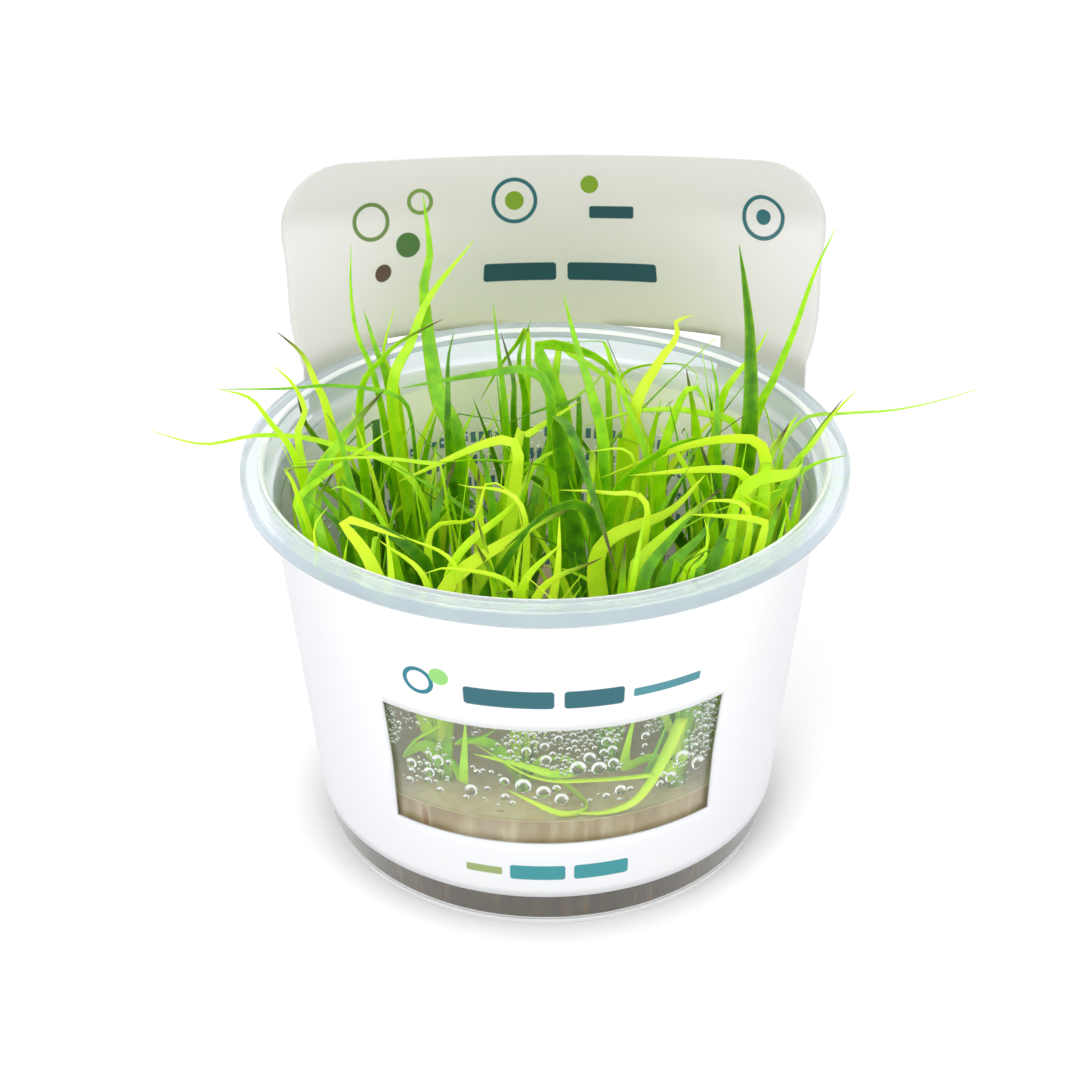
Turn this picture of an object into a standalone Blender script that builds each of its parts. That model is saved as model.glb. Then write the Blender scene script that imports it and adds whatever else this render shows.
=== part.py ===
"""Creeping rush plantlets on nutrient gel in a clear tissue culture cup with a card sleeve.

Metres, +Z up. The origin is the middle of the face that the cup stands on, and the cup's
front, with the sleeve's window, faces -Y.
"""

import math
import random

import bmesh
import bpy
from mathutils import Matrix, Quaternion, Vector
from mathutils.bvhtree import BVHTree

MM = 0.001

# Cup: a thin-walled round tub with a turned-down rim
FACETS = 48
WALL_SLOPE = 0.1027
BODY_RADIUS = 36.25 * MM
WALL = 0.7 * MM
FLOOR_Z = 1.0 * MM
FLOOR_FILLET = 2.6 * MM
FOOT_ROUND = 0.8 * MM
SHOULDER_Z = 60.0 * MM
COLLAR_STEP = 1.5 * MM
RIM_Z = 65.1 * MM
RIM_RADIUS = 47.5 * MM
RIM_ROUND = 0.5 * MM
SKIRT_Z = 62.2 * MM
SKIRT_WALL = 0.8 * MM

# Gel: the set agar that fills the lower third of the cup
GAP = 0.3 * MM
GEL_TOP_Z = 21.0 * MM
MENISCUS = 0.5 * MM
MENISCUS_WIDTH = 1.2 * MM
POCKET_RADIUS = 2.0 * MM
POCKET_DEPTH = 2.4 * MM
POCKET_SIDES = 5

# Sleeve: one piece of card, wrapped round the cup and carried up into a header behind it
CARD = 0.4 * MM
SLEEVE_BOTTOM_Z = 6.7 * MM
SLEEVE_TOP_Z = 58.8 * MM
WINDOW_LOW_Z = 17.7 * MM
WINDOW_HIGH_Z = 40.4 * MM
WINDOW_HALF_ANGLE = 0.664
WINDOW_FLARE = 0.018
WINDOW_TURN = 0.028
TURN_FADE = (2.0, 2.4)
SIDE_COLUMNS = 10
SLOT_COLUMNS = 4
LEG_COLUMNS = 3
WINDOW_COLUMNS = 6
SLOT_HALF_ANGLE = 0.615
LEG_HALF_ANGLE = 1.0
SLOT_TOP_Z = 63.4 * MM
SLOT_ARCH = 1.8 * MM
TAB_COLUMNS = 2
TAB_HALF_ANGLE = 0.171
TAB_DROP = 2.0 * MM
CORNER_STEPS = 4
HEADER_ROWS = 4
SWELL_Z = 52.0 * MM
NEAR = 0.01 * MM
HEADER_RADIUS = 49.3 * MM
HEADER_SHIFT = 1.8 * MM
HEADER_FLAT_Z = 84.5 * MM
HEADER_FLAT_CURVE = 190.0 * MM
HEADER_NARROWING = 0.06
HEADER_NARROW_Z = 80.0 * MM
HEADER_TOP_Z = 94.7 * MM
HEADER_CORNER = 11.4 * MM
BULGE_START_Z = 46.0 * MM
BULGE_END_Z = SLOT_TOP_Z - TAB_DROP
BULGE_FADE = 0.55
SLOT_BULGE = 0.25
SLOT_BULGE_ANGLE = 0.3

# Plantlets: a short crown set in the gel, with flat blades
CROWN_RADIUS = 1.5 * MM
CROWN_HEIGHT = 4.4 * MM
CROWN_SIDES = 5
ROOT_SPREAD = 0.5 * MM
BLADE_THICK = 0.5 * MM
CLEARANCE = 0.2 * MM
WALL_CLEARANCE = 1.5 * MM
SLIVER = 0.003 * MM
LONG_POINTS = 8
FILL_POINTS = 6
SEED = 2600
TRIES = 60
LOOSENESS = 0.04 * MM
LONG_RISE = 4 * MM
LONG_TURN_SHARE = 0.45
PATH_SAMPLES = 60
ROOT_WIDTH = 0.7
FULL_WIDTH_SHARE = 0.3
TAPER_SHARE = 0.45
TAPER_POWER = 0.7

# Crown places on the gel, in mm
CROWNS = (
    (-13, 3),
    (-20, 10),
    (-22, 20),
    (-28, 3),
    (-32, -6),
    (-28, -16),
    (-16, -25),
    (-5, 7),
    (-4, 19),
    (3, -4),
    (7, -13),
    (10, -23),
    (14, 7),
    (17, -3),
    (29, 3),
    (25, 14),
    (31, -7),
    (26, -17),
    (-4, -27),
    (-11, -11),
    (20, -27),
    (13, 24),
    (-21, -6),
)

# Blades that stand clear of the tuft: crown, width, turn of the face in degrees, and the
# points that the blade passes through above the gel, in mm
LONG_BLADES = (
    (0, 3.0, 10, ((-14, 4, 65), (-17, 9, 71), (-19, 18, 84), (-18, 21, 89), (-19, 26, 97))),
    (1, 2.4, -20, ((-24, 8, 71), (-21, 12, 78), (-18, 16, 84), (-11, 22, 91))),
    (2, 1.4, 40, ((-27, 14, 70), (-30, 19, 76), (-31, 23, 82), (-31, 28, 88))),
    (2, 2.4, 0, ((-25, 16, 68), (-27, 18, 74), (-29, 22, 79))),
    (2, 1.2, 0, ((-24, 20, 66), (-26, 20, 72), (-24, 24, 79))),
    (3, 1.8, 30, ((-29, 6, 71), (-25, 9, 77), (-22, 11, 79), (-16, 14, 81))),
    (3, 2.2, 20, ((-34, 6, 68), (-36, 8, 73), (-38, 10, 77), (-42, 12, 80))),
    (4, 2.0, -15, ((-38, -3, 68), (-37, 0, 72), (-39, 2, 76), (-42, 4, 78))),
    (1, 1.0, 60, ((-21, 5, 68), (-24, 4, 73), (-33, 5, 74), (-41, 6, 73), (-52, 8, 72))),
    (4, 1.6, 30, ((-38, -6, 66), (-42, -5, 73), (-45, -3, 76), (-50, 0, 76))),
    (19, 1.6, 60, ((-21, 0, 60), (-34, 1, 66), (-44, 0, 68), (-53, -1, 67), (-61, -2, 70))),
    (7, 1.6, 0, ((-6, 5, 66), (-7, 8, 77), (-8, 14, 84))),
    (8, 1.6, 0, ((-5, 17, 62), (-5, 19, 68), (-7, 24, 74))),
    (8, 1.8, 10, ((-3, 13, 66), (-4, 12, 75), (-2, 18, 79))),
    (0, 1.8, -10, ((-15, 1, 66), (-15, 3, 73), (-15, 8, 77), (-14, 10, 81))),
    (10, 2.4, 0, ((9, -7, 68), (7, -3, 77), (5, 2, 82), (3, 8, 88))),
    (9, 3.2, 20, ((3, 3, 68), (0, 5, 77), (-1, 6, 80), (3, 6, 80), (9, 7, 77), (13, 8, 71))),
    (9, 2.2, 35, ((1, -5, 74), (0, -4, 79), (-3, -4, 81), (-8, -3, 80), (-14, -1, 78), (-22, 0, 76))),
    (12, 2.8, -10, ((14, 5, 68), (18, 10, 75), (21, 13, 78), (21, 15, 80), (24, 17, 80))),
    (13, 1.6, 40, ((16, -1, 62), (13, 3, 70), (10, 10, 76), (9, 14, 77), (6, 16, 76), (1, 20, 74))),
    (14, 3.0, 0, ((32, 2, 66), (32, 6, 80), (31, 8, 89), (30, 10, 95))),
    (15, 1.8, 15, ((34, 9, 67), (36, 9, 72), (39, 10, 80), (42, 11, 90), (45, 12, 97))),
    (15, 2.0, -10, ((28, 11, 66), (30, 12, 71), (34, 16, 74), (36, 18, 77))),
    (14, 1.8, 10, ((27, 0, 63), (27, 3, 69), (27, 6, 73), (26, 8, 77))),
    (16, 1.8, 60, ((36, -3, 64), (40, 0, 70), (46, 0, 71), (54, 1, 71), (61, 2, 72), (67, 2, 74))),
    (16, 2.4, 30, ((37, -7, 63), (41, -6, 69), (44, -3, 72), (48, 0, 75))),
    (12, 1.2, 50, ((13, 12, 60), (12, 19, 66), (14, 20, 69), (20, 18, 71), (24, 16, 71), (25, 14, 67))),
    (13, 2.2, 0, ((18, -4, 64), (20, -2, 72), (22, -1, 76), (24, 0, 75), (26, 1, 69))),
    (10, 2.6, 30, ((10, -13, 62), (14, -12, 68), (21, -9, 71), (29, -6, 70))),
    (16, 3.0, -30, ((33, -7, 60), (34, -6, 66), (37, -4, 70), (39, -2, 72))),
    (17, 2.4, 30, ((32, -13, 58), (36, -11, 64), (41, -9, 67), (46, -8, 68))),
    (5, 3.0, 30, ((-33, -15, 55), (-36, -13, 64), (-31, -5, 70), (-25, 3, 74))),
    (5, 2.2, 20, ((-28, -15, 58), (-30, -12, 69), (-31, -10, 73), (-33, -8, 76))),
    (6, 2.6, 30, ((-17, -27, 58), (-20, -28, 64), (-25, -27, 67), (-29, -27, 67), (-31, -26, 63))),
    (10, 3.0, 0, ((4, -12, 60), (2, -14, 77), (4, -18, 77), (7, -26, 71), (10, -35, 64))),
    (11, 3.0, 20, ((8, -23, 60), (6, -24, 68), (1, -26, 69), (-6, -30, 65))),
)

# Blades that fill the tuft, for each plantlet
FILL_BLADES = 2
FILL_REACH = (30 * MM, 56 * MM)
FILL_WIDTH = (1.4 * MM, 2.8 * MM)
FILL_TURN = (-70.0, 70.0)
FILL_LEAN = (0.15, 0.75)
FILL_DROOP = (0.0, 0.30)
FILL_SPREAD = 1.3
FILL_SWERVE = (-0.2, 0.2)
OPEN_BOX = ((-9 * MM, 29 * MM, 22 * MM), (9 * MM, 44 * MM, 100 * MM))


def material(name, colour, roughness, alpha=1.0, transmission=0.0, ior=1.45):
    """Return a Principled material of the given base colour."""
    made = bpy.data.materials.new(name)
    made.use_nodes = True
    shader = made.node_tree.nodes["Principled BSDF"]
    shader.inputs["Base Color"].default_value = (*colour, 1.0)
    shader.inputs["Roughness"].default_value = roughness
    shader.inputs["Metallic"].default_value = 0.0
    shader.inputs["Alpha"].default_value = alpha
    shader.inputs["Transmission Weight"].default_value = transmission
    shader.inputs["IOR"].default_value = ior
    made.diffuse_color = (*colour, alpha)
    return made


def add_object(name, bm, finish, smooth=True):
    """Put a bmesh into the scene as an object of that name and finish."""
    bmesh.ops.recalc_face_normals(bm, faces=bm.faces)
    for face in bm.faces:
        face.smooth = smooth
    mesh = bpy.data.meshes.new(name)
    bm.to_mesh(mesh)
    bm.free()
    mesh.materials.append(finish)
    made = bpy.data.objects.new(name, mesh)
    bpy.context.scene.collection.objects.link(made)
    return made


def hide_cutter(cutter):
    """Mark an object as a tool of a Boolean and no part of the model."""
    cutter.hide_render = True
    cutter.display_type = "WIRE"


def smoothstep(low, high, value):
    """Rise from 0 at low to 1 at high with level ends."""
    share = min(1.0, max(0.0, (value - low) / (high - low)))
    return share * share * (3.0 - 2.0 * share)


def turned(points):
    """Spin a profile of (radius, height) points once round Z into a closed bmesh."""
    bm = bmesh.new()
    verts = [bm.verts.new((radius, 0.0, height)) for radius, height in points]
    edges = [bm.edges.new(pair) for pair in zip(verts, verts[1:])]
    bmesh.ops.spin(
        bm,
        geom=verts + edges,
        cent=(0.0, 0.0, 0.0),
        axis=(0.0, 0.0, 1.0),
        dvec=(0.0, 0.0, 0.0),
        angle=math.tau,
        steps=FACETS,
        use_merge=True,
    )
    bmesh.ops.remove_doubles(bm, verts=bm.verts, dist=1e-6)
    return bm


# Cup


def outer_radius(height):
    """Outside radius of the cup's body at a height."""
    return BODY_RADIUS + WALL_SLOPE * height


def inner_radius(height):
    """Inside radius of the cup at a height, past the step under the collar."""
    step = COLLAR_STEP * smoothstep(SHOULDER_Z - WALL, SHOULDER_Z + WALL, height)
    return outer_radius(height) - WALL + step


def build_cup(finish):
    """Turn the cup: flat base, tapered wall, shoulder, collar and turned-down rim."""
    foot = outer_radius(0.0)
    shoulder = outer_radius(SHOULDER_Z)
    collar = inner_radius(RIM_Z) + WALL
    profile = (
        (0.0, 0.0),
        (foot - FOOT_ROUND, 0.0),
        (foot - 0.25 * FOOT_ROUND, 0.25 * FOOT_ROUND),
        (outer_radius(FOOT_ROUND), FOOT_ROUND),
        (shoulder, SHOULDER_Z),
        (shoulder + COLLAR_STEP, SHOULDER_Z + WALL),
        (collar, RIM_Z - 2 * WALL),
        (RIM_RADIUS - SKIRT_WALL, RIM_Z - 1.3 * WALL),
        (RIM_RADIUS - SKIRT_WALL, SKIRT_Z),
        (RIM_RADIUS, SKIRT_Z),
        (RIM_RADIUS, RIM_Z - RIM_ROUND),
        (RIM_RADIUS - RIM_ROUND, RIM_Z),
        (collar - WALL + 1.5 * RIM_ROUND, RIM_Z),
        (collar - WALL + 0.5 * RIM_ROUND, RIM_Z - RIM_ROUND),
        (inner_radius(SHOULDER_Z + WALL), SHOULDER_Z + WALL),
        (inner_radius(SHOULDER_Z - WALL), SHOULDER_Z - WALL),
        (inner_radius(FLOOR_Z + FLOOR_FILLET), FLOOR_Z + FLOOR_FILLET),
        (inner_radius(FLOOR_Z) - 0.7 * FLOOR_FILLET, FLOOR_Z + 0.3 * FLOOR_FILLET),
        (inner_radius(FLOOR_Z) - 1.4 * FLOOR_FILLET, FLOOR_Z),
        (0.0, FLOOR_Z),
    )
    return add_object("cup", turned(profile), finish)


# Gel


def build_gel(finish):
    """Turn the gel, then cut a pocket for each plantlet's crown."""
    bottom = FLOOR_Z + GAP
    low = inner_radius(bottom) - GAP
    fillet_top = bottom + FLOOR_FILLET
    high = inner_radius(GEL_TOP_Z + MENISCUS) - GAP
    profile = (
        (0.0, bottom),
        (low - 1.4 * FLOOR_FILLET, bottom),
        (low - 0.7 * FLOOR_FILLET, bottom + 0.3 * FLOOR_FILLET),
        (inner_radius(fillet_top) - GAP, fillet_top),
        (high, GEL_TOP_Z + MENISCUS),
        (high - MENISCUS_WIDTH, GEL_TOP_Z),
        (0.0, GEL_TOP_Z),
    )
    gel = add_object("gel", turned(profile), finish)
    pockets = bmesh.new()
    for place in CROWNS:
        spot = Vector((place[0] * MM, place[1] * MM, GEL_TOP_Z))
        bmesh.ops.create_cone(
            pockets,
            cap_ends=True,
            segments=POCKET_SIDES,
            radius1=POCKET_RADIUS,
            radius2=POCKET_RADIUS,
            depth=2 * POCKET_DEPTH,
            matrix=Matrix.Translation(spot),
        )
    cutter = add_object("pocket_cutter", pockets, finish)
    hide_cutter(cutter)
    cut = gel.modifiers.new("pockets", "BOOLEAN")
    cut.operation = "DIFFERENCE"
    cut.solver = "EXACT"
    cut.object = cutter
    return gel


# Sleeve


def steps(start, end, count):
    """Evenly spaced values after the start, up to the end."""
    return [start + (end - start) * i / count for i in range(1, count + 1)]


def card_columns():
    """Angles of the sheet's columns, measured from the middle of the back."""
    window = math.pi - WINDOW_HALF_ANGLE
    right = steps(0.0, TAB_HALF_ANGLE, TAB_COLUMNS)
    right += steps(TAB_HALF_ANGLE, SLOT_HALF_ANGLE, SLOT_COLUMNS)
    right += steps(SLOT_HALF_ANGLE, LEG_HALF_ANGLE, LEG_COLUMNS)
    right += steps(LEG_HALF_ANGLE, window, SIDE_COLUMNS)
    right += steps(window, math.pi, WINDOW_COLUMNS)
    left = [-angle for angle in reversed(right[:-1])]
    return left + [0.0] + right


def bulge(angle, height):
    """Share of the way from the cup's cone to the legs, which stand off it to pass the rim."""
    off = abs(angle)
    side = 1.0 - smoothstep(LEG_HALF_ANGLE, LEG_HALF_ANGLE + BULGE_FADE, off)
    if off < SLOT_HALF_ANGLE and height < SLEEVE_TOP_Z + GAP:
        side = SLOT_BULGE + (1.0 - SLOT_BULGE) * smoothstep(SLOT_BULGE_ANGLE, SLOT_HALF_ANGLE, off)
    return side * smoothstep(BULGE_START_Z, BULGE_END_Z, height)


def wrap_place(angle, height):
    """Place of a point of the wrap's inner face, which swells to meet the legs."""
    share = bulge(angle, height)
    cone = outer_radius(height) + GAP
    radius = cone + (HEADER_RADIUS - cone) * share
    front = math.pi - WINDOW_HALF_ANGLE
    raised = (height - WINDOW_LOW_Z) / (WINDOW_HIGH_Z - WINDOW_LOW_Z) - 0.5
    near = max(0.0, 1.0 - abs(abs(angle) - front) / WINDOW_HALF_ANGLE)
    around = angle - math.copysign(WINDOW_FLARE * raised * near, angle)
    around -= WINDOW_TURN * smoothstep(*TURN_FADE, abs(angle))
    shift = HEADER_SHIFT * share
    return Vector((radius * math.sin(around) + shift, radius * math.cos(around), height))


def header_place(angle, height):
    """Place of a point of the legs' or the header's inner face: round at the rim, flat above."""
    rise = min(1.0, max(0.0, (height - RIM_Z) / (HEADER_FLAT_Z - RIM_Z)))
    curve = (1.0 - rise) / HEADER_RADIUS + rise / HEADER_FLAT_CURVE
    along = angle * HEADER_RADIUS * (1.0 - HEADER_NARROWING * smoothstep(RIM_Z, HEADER_NARROW_Z, height))
    corner_z = HEADER_TOP_Z - HEADER_CORNER
    if height > corner_z:
        lift = (height - corner_z) / HEADER_CORNER
        slot = SLOT_HALF_ANGLE * HEADER_RADIUS * (1.0 - HEADER_NARROWING)
        leg = LEG_HALF_ANGLE * HEADER_RADIUS * (1.0 - HEADER_NARROWING)
        if abs(along) > slot:
            edge = leg - HEADER_CORNER * (1.0 - math.sqrt(max(0.0, 1.0 - lift * lift)))
            shifted = slot + (abs(along) - slot) * (edge - slot) / (leg - slot)
            along = math.copysign(shifted, along)
    x = math.sin(along * curve) / curve + HEADER_SHIFT
    y = HEADER_RADIUS - (1.0 - math.cos(along * curve)) / curve
    arch = 0.0
    if abs(height - SLOT_TOP_Z) < GAP:
        arch = SLOT_ARCH * min(1.0, abs(angle) / SLOT_HALF_ANGLE) ** 2
    return Vector((x, y, height + arch))


def card_place(angle, height):
    """Place of a point of the card's inner face, from its angle and height on the sheet."""
    if height < BULGE_END_Z - NEAR:
        return wrap_place(angle, height)
    return header_place(angle, height)


def card_rows():
    """Heights of the sheet's rows, closer together round the header's top corners."""
    corner_z = HEADER_TOP_Z - HEADER_CORNER
    turns = [0.0] + steps(0.0, math.pi / 2, CORNER_STEPS)
    corner = [corner_z + HEADER_CORNER * math.sin(turn) for turn in turns]
    wrap = [SLEEVE_BOTTOM_Z, WINDOW_LOW_Z, WINDOW_HIGH_Z, SWELL_Z, SLEEVE_TOP_Z]
    header = steps(SLOT_TOP_Z, corner_z, HEADER_ROWS)[:-1]
    return wrap + [SLOT_TOP_Z - TAB_DROP, SLOT_TOP_Z] + header + corner


def keeps_card(low, high, middle):
    """Tell whether the sheet has card between two heights at an angle."""
    off = abs(middle)
    if high < SLEEVE_TOP_Z + NEAR:
        beside_window = low < WINDOW_LOW_Z - NEAR or high > WINDOW_HIGH_Z + NEAR
        return beside_window or off < math.pi - WINDOW_HALF_ANGLE
    if low > SLOT_TOP_Z - NEAR or off > SLOT_HALF_ANGLE:
        return off < LEG_HALF_ANGLE
    return off < TAB_HALF_ANGLE and low > SLOT_TOP_Z - TAB_DROP - NEAR


def build_sleeve(finish):
    """Lay the card out as a sheet, wrap it, and give it the card's thickness."""
    columns = card_columns()
    rows = card_rows()
    bm = bmesh.new()
    grid = {}
    for j, height in enumerate(rows):
        for i, angle in enumerate(columns):
            grid[i, j] = bm.verts.new(card_place(angle, height))
    for j, (low, high) in enumerate(zip(rows, rows[1:])):
        for i in range(len(columns)):
            k = (i + 1) % len(columns)
            middle = math.remainder((columns[i] + columns[k] + math.tau * (k == 0)) / 2, math.tau)
            if keeps_card(low, high, middle):
                bm.faces.new((grid[i, j], grid[k, j], grid[k, j + 1], grid[i, j + 1]))
    bmesh.ops.delete(bm, geom=[v for v in bm.verts if not v.link_faces], context="VERTS")
    sleeve = add_object("sleeve", bm, finish)
    face = sleeve.data.polygons[0]
    thick = sleeve.modifiers.new("card", "SOLIDIFY")
    thick.thickness = CARD
    thick.offset = math.copysign(1.0, face.center.xy.dot(face.normal.xy))
    thick.use_even_offset = True
    thick.use_rim = True
    return sleeve


# Plantlets


def path_point(points, share):
    """Point at a share of the way along a smooth curve through the points."""
    spans = len(points) - 1
    i = min(int(share * spans), spans - 1)
    t = share * spans - i
    p1 = points[i]
    p2 = points[i + 1]
    p0 = points[i - 1] if i > 0 else 2 * p1 - p2
    p3 = points[i + 2] if i + 2 <= spans else 2 * p2 - p1
    bend = 2 * p0 - 5 * p1 + 4 * p2 - p3
    swing = 3 * p1 - p0 - 3 * p2 + p3
    return 0.5 * (2 * p1 + (p2 - p0) * t + bend * t * t + swing * t * t * t)


def even_path(points, count):
    """Points spaced evenly along the smooth curve through the given points."""
    fine = [path_point(points, i / PATH_SAMPLES) for i in range(PATH_SAMPLES + 1)]
    lengths = [0.0]
    for a, b in zip(fine, fine[1:]):
        lengths.append(lengths[-1] + (b - a).length)
    path = []
    i = 0
    for k in range(count):
        want = lengths[-1] * k / (count - 1)
        while i < PATH_SAMPLES - 1 and lengths[i + 1] < want:
            i += 1
        part = (want - lengths[i]) / (lengths[i + 1] - lengths[i])
        path.append(fine[i].lerp(fine[i + 1], min(1.0, part)))
    return path


def blade_width(share):
    """Share of its full width that a blade has at a share of its length."""
    root = ROOT_WIDTH + (1.0 - ROOT_WIDTH) * smoothstep(0.0, FULL_WIDTH_SHARE, share)
    return root * min(1.0, (1.0 - share) / TAPER_SHARE) ** TAPER_POWER


def blade_mesh(path, width, face_turn, extra=0.0):
    """Make a blade along a path: two edges and a keel, drawn to a point at the tip."""
    bm = bmesh.new()
    along = (path[1] - path[0]).normalized()
    facing = Quaternion((0.0, 0.0, 1.0), math.radians(face_turn)) @ Vector((0.0, -1.0, 0.0))
    facing = (facing - along * facing.dot(along)).normalized()
    rings = []
    last = len(path) - 1
    for k, centre in enumerate(path[:-1]):
        ahead = (path[k + 1] - path[max(0, k - 1)]).normalized()
        facing = along.rotation_difference(ahead) @ facing
        along = ahead
        across = along.cross(facing)
        half = 0.5 * width * blade_width(k / last) + extra
        keel = BLADE_THICK * (0.5 + 0.5 * blade_width(k / last)) + extra
        rings.append(
            [
                bm.verts.new(centre - across * half + facing * extra),
                bm.verts.new(centre + across * half + facing * extra),
                bm.verts.new(centre - facing * keel),
            ]
        )
    tip = bm.verts.new(path[-1])
    bm.faces.new(rings[0])
    for low, high in zip(rings, rings[1:]):
        for i in range(3):
            j = (i + 1) % 3
            bm.faces.new((low[i], low[j], high[j], high[i]))
    for i in range(3):
        bm.faces.new((rings[-1][i], rings[-1][(i + 1) % 3], tip))
    bmesh.ops.recalc_face_normals(bm, faces=bm.faces)
    return bm


def held_in(point):
    """Bring a point below the rim inside the cup, as the wall holds a leaf that leans on it."""
    if point.z > RIM_Z + MM:
        return point
    most = inner_radius(min(point.z, SHOULDER_Z - MM)) - WALL_CLEARANCE
    if point.xy.length <= most:
        return point
    side = point.xy.normalized() * most
    return Vector((side.x, side.y, point.z))


def crown_root(rng, crown):
    """Draw a point inside a crown for a blade to start from."""
    x = CROWNS[crown][0] * MM + rng.uniform(-ROOT_SPREAD, ROOT_SPREAD)
    y = CROWNS[crown][1] * MM + rng.uniform(-ROOT_SPREAD, ROOT_SPREAD)
    return Vector((x, y, GEL_TOP_Z + rng.uniform(0.0, 2 * ROOT_SPREAD)))


def long_path(rng, crown, points, attempt):
    """Draw a long blade's path: through its own points, moved a little more at each attempt."""
    root = crown_root(rng, crown)
    loose = LOOSENESS * attempt
    shift = Vector((rng.uniform(-loose, loose), rng.uniform(-2 * loose, 2 * loose), 0.0))
    passed = [held_in(Vector(point) * MM + shift) for point in points]
    rise = root.lerp(passed[0], LONG_TURN_SHARE) + Vector((0.0, 0.0, LONG_RISE)) + shift
    return even_path([root, held_in(rise)] + passed, LONG_POINTS)


def fill_path(rng, crown):
    """Draw a filling blade's path: up from the crown, then leaning over with a droop."""
    root = crown_root(rng, crown)
    reach = rng.uniform(*FILL_REACH)
    lean = rng.uniform(*FILL_LEAN)
    droop = rng.uniform(*FILL_DROOP)
    around = math.atan2(root.y, root.x) + rng.gauss(0.0, FILL_SPREAD)
    side = Vector((math.cos(around), math.sin(around), 0.0))
    swerve = Vector((-side.y, side.x, 0.0)) * rng.uniform(*FILL_SWERVE)
    points = []
    for i in range(FILL_POINTS):
        t = i / (FILL_POINTS - 1)
        rise = Vector((0.0, 0.0, reach * (t - droop * t**3)))
        points.append(held_in(root + rise + side * reach * lean * t**1.7 + swerve * reach * t * t))
    return even_path(points, FILL_POINTS)


def is_clear(tree, others, crown):
    """Tell whether a blade's tree meets no solid and no blade of another crown."""
    for owner, other in others:
        if owner != crown and tree.overlap(other):
            return False
    return True


def bm_tree(bm):
    """Tree of a bmesh for overlap tests; the bmesh is freed."""
    tree = BVHTree.FromBMesh(bm)
    bm.free()
    return tree


def solid_tree(made):
    """Tree of an object as its modifiers leave it."""
    return BVHTree.FromObject(made, bpy.context.evaluated_depsgraph_get())


def open_box_tree():
    """Tree of the space behind the tuft that is kept open."""
    bm = bmesh.new()
    bmesh.ops.create_cube(bm, size=1.0)
    low = Vector(OPEN_BOX[0])
    high = Vector(OPEN_BOX[1])
    bmesh.ops.scale(bm, vec=high - low, verts=bm.verts)
    bmesh.ops.translate(bm, vec=(low + high) / 2, verts=bm.verts)
    return bm_tree(bm)


def draws(blade, attempt):
    """Random numbers of their own for each attempt at each blade."""
    return random.Random(SEED + TRIES * blade + attempt)


def place_blade(crown, width, face_turn, paths, taken):
    """Take the first path on which the blade is clear of all that stands there, if any is."""
    for path in paths:
        tree = bm_tree(blade_mesh(path[1:], width, face_turn, CLEARANCE))
        if is_clear(tree, taken, crown):
            taken.append((crown, tree))
            return [(crown, width, face_turn, path)]
    return []


def grow_blades(solids):
    """Choose every blade's path, clear of the solids and of the other plantlets."""
    taken = [(None, solid_tree(made)) for made in solids]
    blades = []
    for number, (crown, width, face_turn, points) in enumerate(LONG_BLADES):
        paths = (long_path(draws(number, i), crown, points, i) for i in range(TRIES))
        blades += place_blade(crown, width * MM, face_turn, paths, taken)
    taken.append((None, open_box_tree()))
    for number in range(FILL_BLADES * len(CROWNS)):
        crown = number // FILL_BLADES
        blade = len(LONG_BLADES) + number
        look = draws(blade, TRIES)
        width = look.uniform(*FILL_WIDTH)
        face_turn = look.uniform(*FILL_TURN)
        paths = (fill_path(draws(blade, i), crown) for i in range(TRIES))
        blades += place_blade(crown, width, face_turn, paths, taken)
    return blades


def build_crown(index, finish):
    """Turn a plantlet's crown: a short, pointed bulb that sits in its pocket in the gel."""
    bm = bmesh.new()
    x, y = CROWNS[index]
    bottom = GEL_TOP_Z - POCKET_DEPTH + GAP
    middle = Vector((x * MM, y * MM, bottom + CROWN_HEIGHT / 2))
    bmesh.ops.create_cone(
        bm,
        cap_ends=True,
        segments=CROWN_SIDES,
        radius1=CROWN_RADIUS,
        radius2=0.6 * CROWN_RADIUS,
        depth=CROWN_HEIGHT,
        matrix=Matrix.Translation(middle),
    )
    return add_object(f"plantlet_{index + 1:02d}", bm, finish)


def tidy_joined(mesh):
    """Close up a joined plantlet's slivers, and the sealed hollows that crossing blades enclose."""
    bm = bmesh.new()
    bm.from_mesh(mesh)
    bmesh.ops.triangulate(bm, faces=bm.faces)
    bmesh.ops.dissolve_degenerate(bm, dist=SLIVER, edges=bm.edges)
    shells = []
    left = set(bm.verts)
    while left:
        shell = {left.pop()}
        edge_of = list(shell)
        while edge_of:
            vert = edge_of.pop()
            for edge in vert.link_edges:
                other = edge.other_vert(vert)
                if other in left:
                    left.remove(other)
                    shell.add(other)
                    edge_of.append(other)
        shells.append(shell)
    outer = max(shells, key=len)
    inner = [vert for shell in shells if shell is not outer for vert in shell]
    bmesh.ops.delete(bm, geom=inner, context="VERTS")
    bm.to_mesh(mesh)
    bm.free()


def build_plantlets(blades, finish):
    """Join each plantlet's blades to its crown in one body.

    The blades are thin and cross each other, which the EXACT solver loses.
    """
    for index in range(len(CROWNS)):
        crown = build_crown(index, finish)
        cutters = []
        for owner, width, face_turn, path in blades:
            if owner != index:
                continue
            blade = add_object("blade", blade_mesh(path, width, face_turn), finish)
            cutters.append(blade)
            join = crown.modifiers.new("blade", "BOOLEAN")
            join.operation = "UNION"
            join.solver = "MANIFOLD"
            join.object = blade
        view = bpy.context.evaluated_depsgraph_get()
        joined = bpy.data.meshes.new_from_object(crown.evaluated_get(view))
        tidy_joined(joined)
        crown.modifiers.clear()
        crown.data = joined
        for blade in cutters:
            bpy.data.objects.remove(blade)


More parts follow.
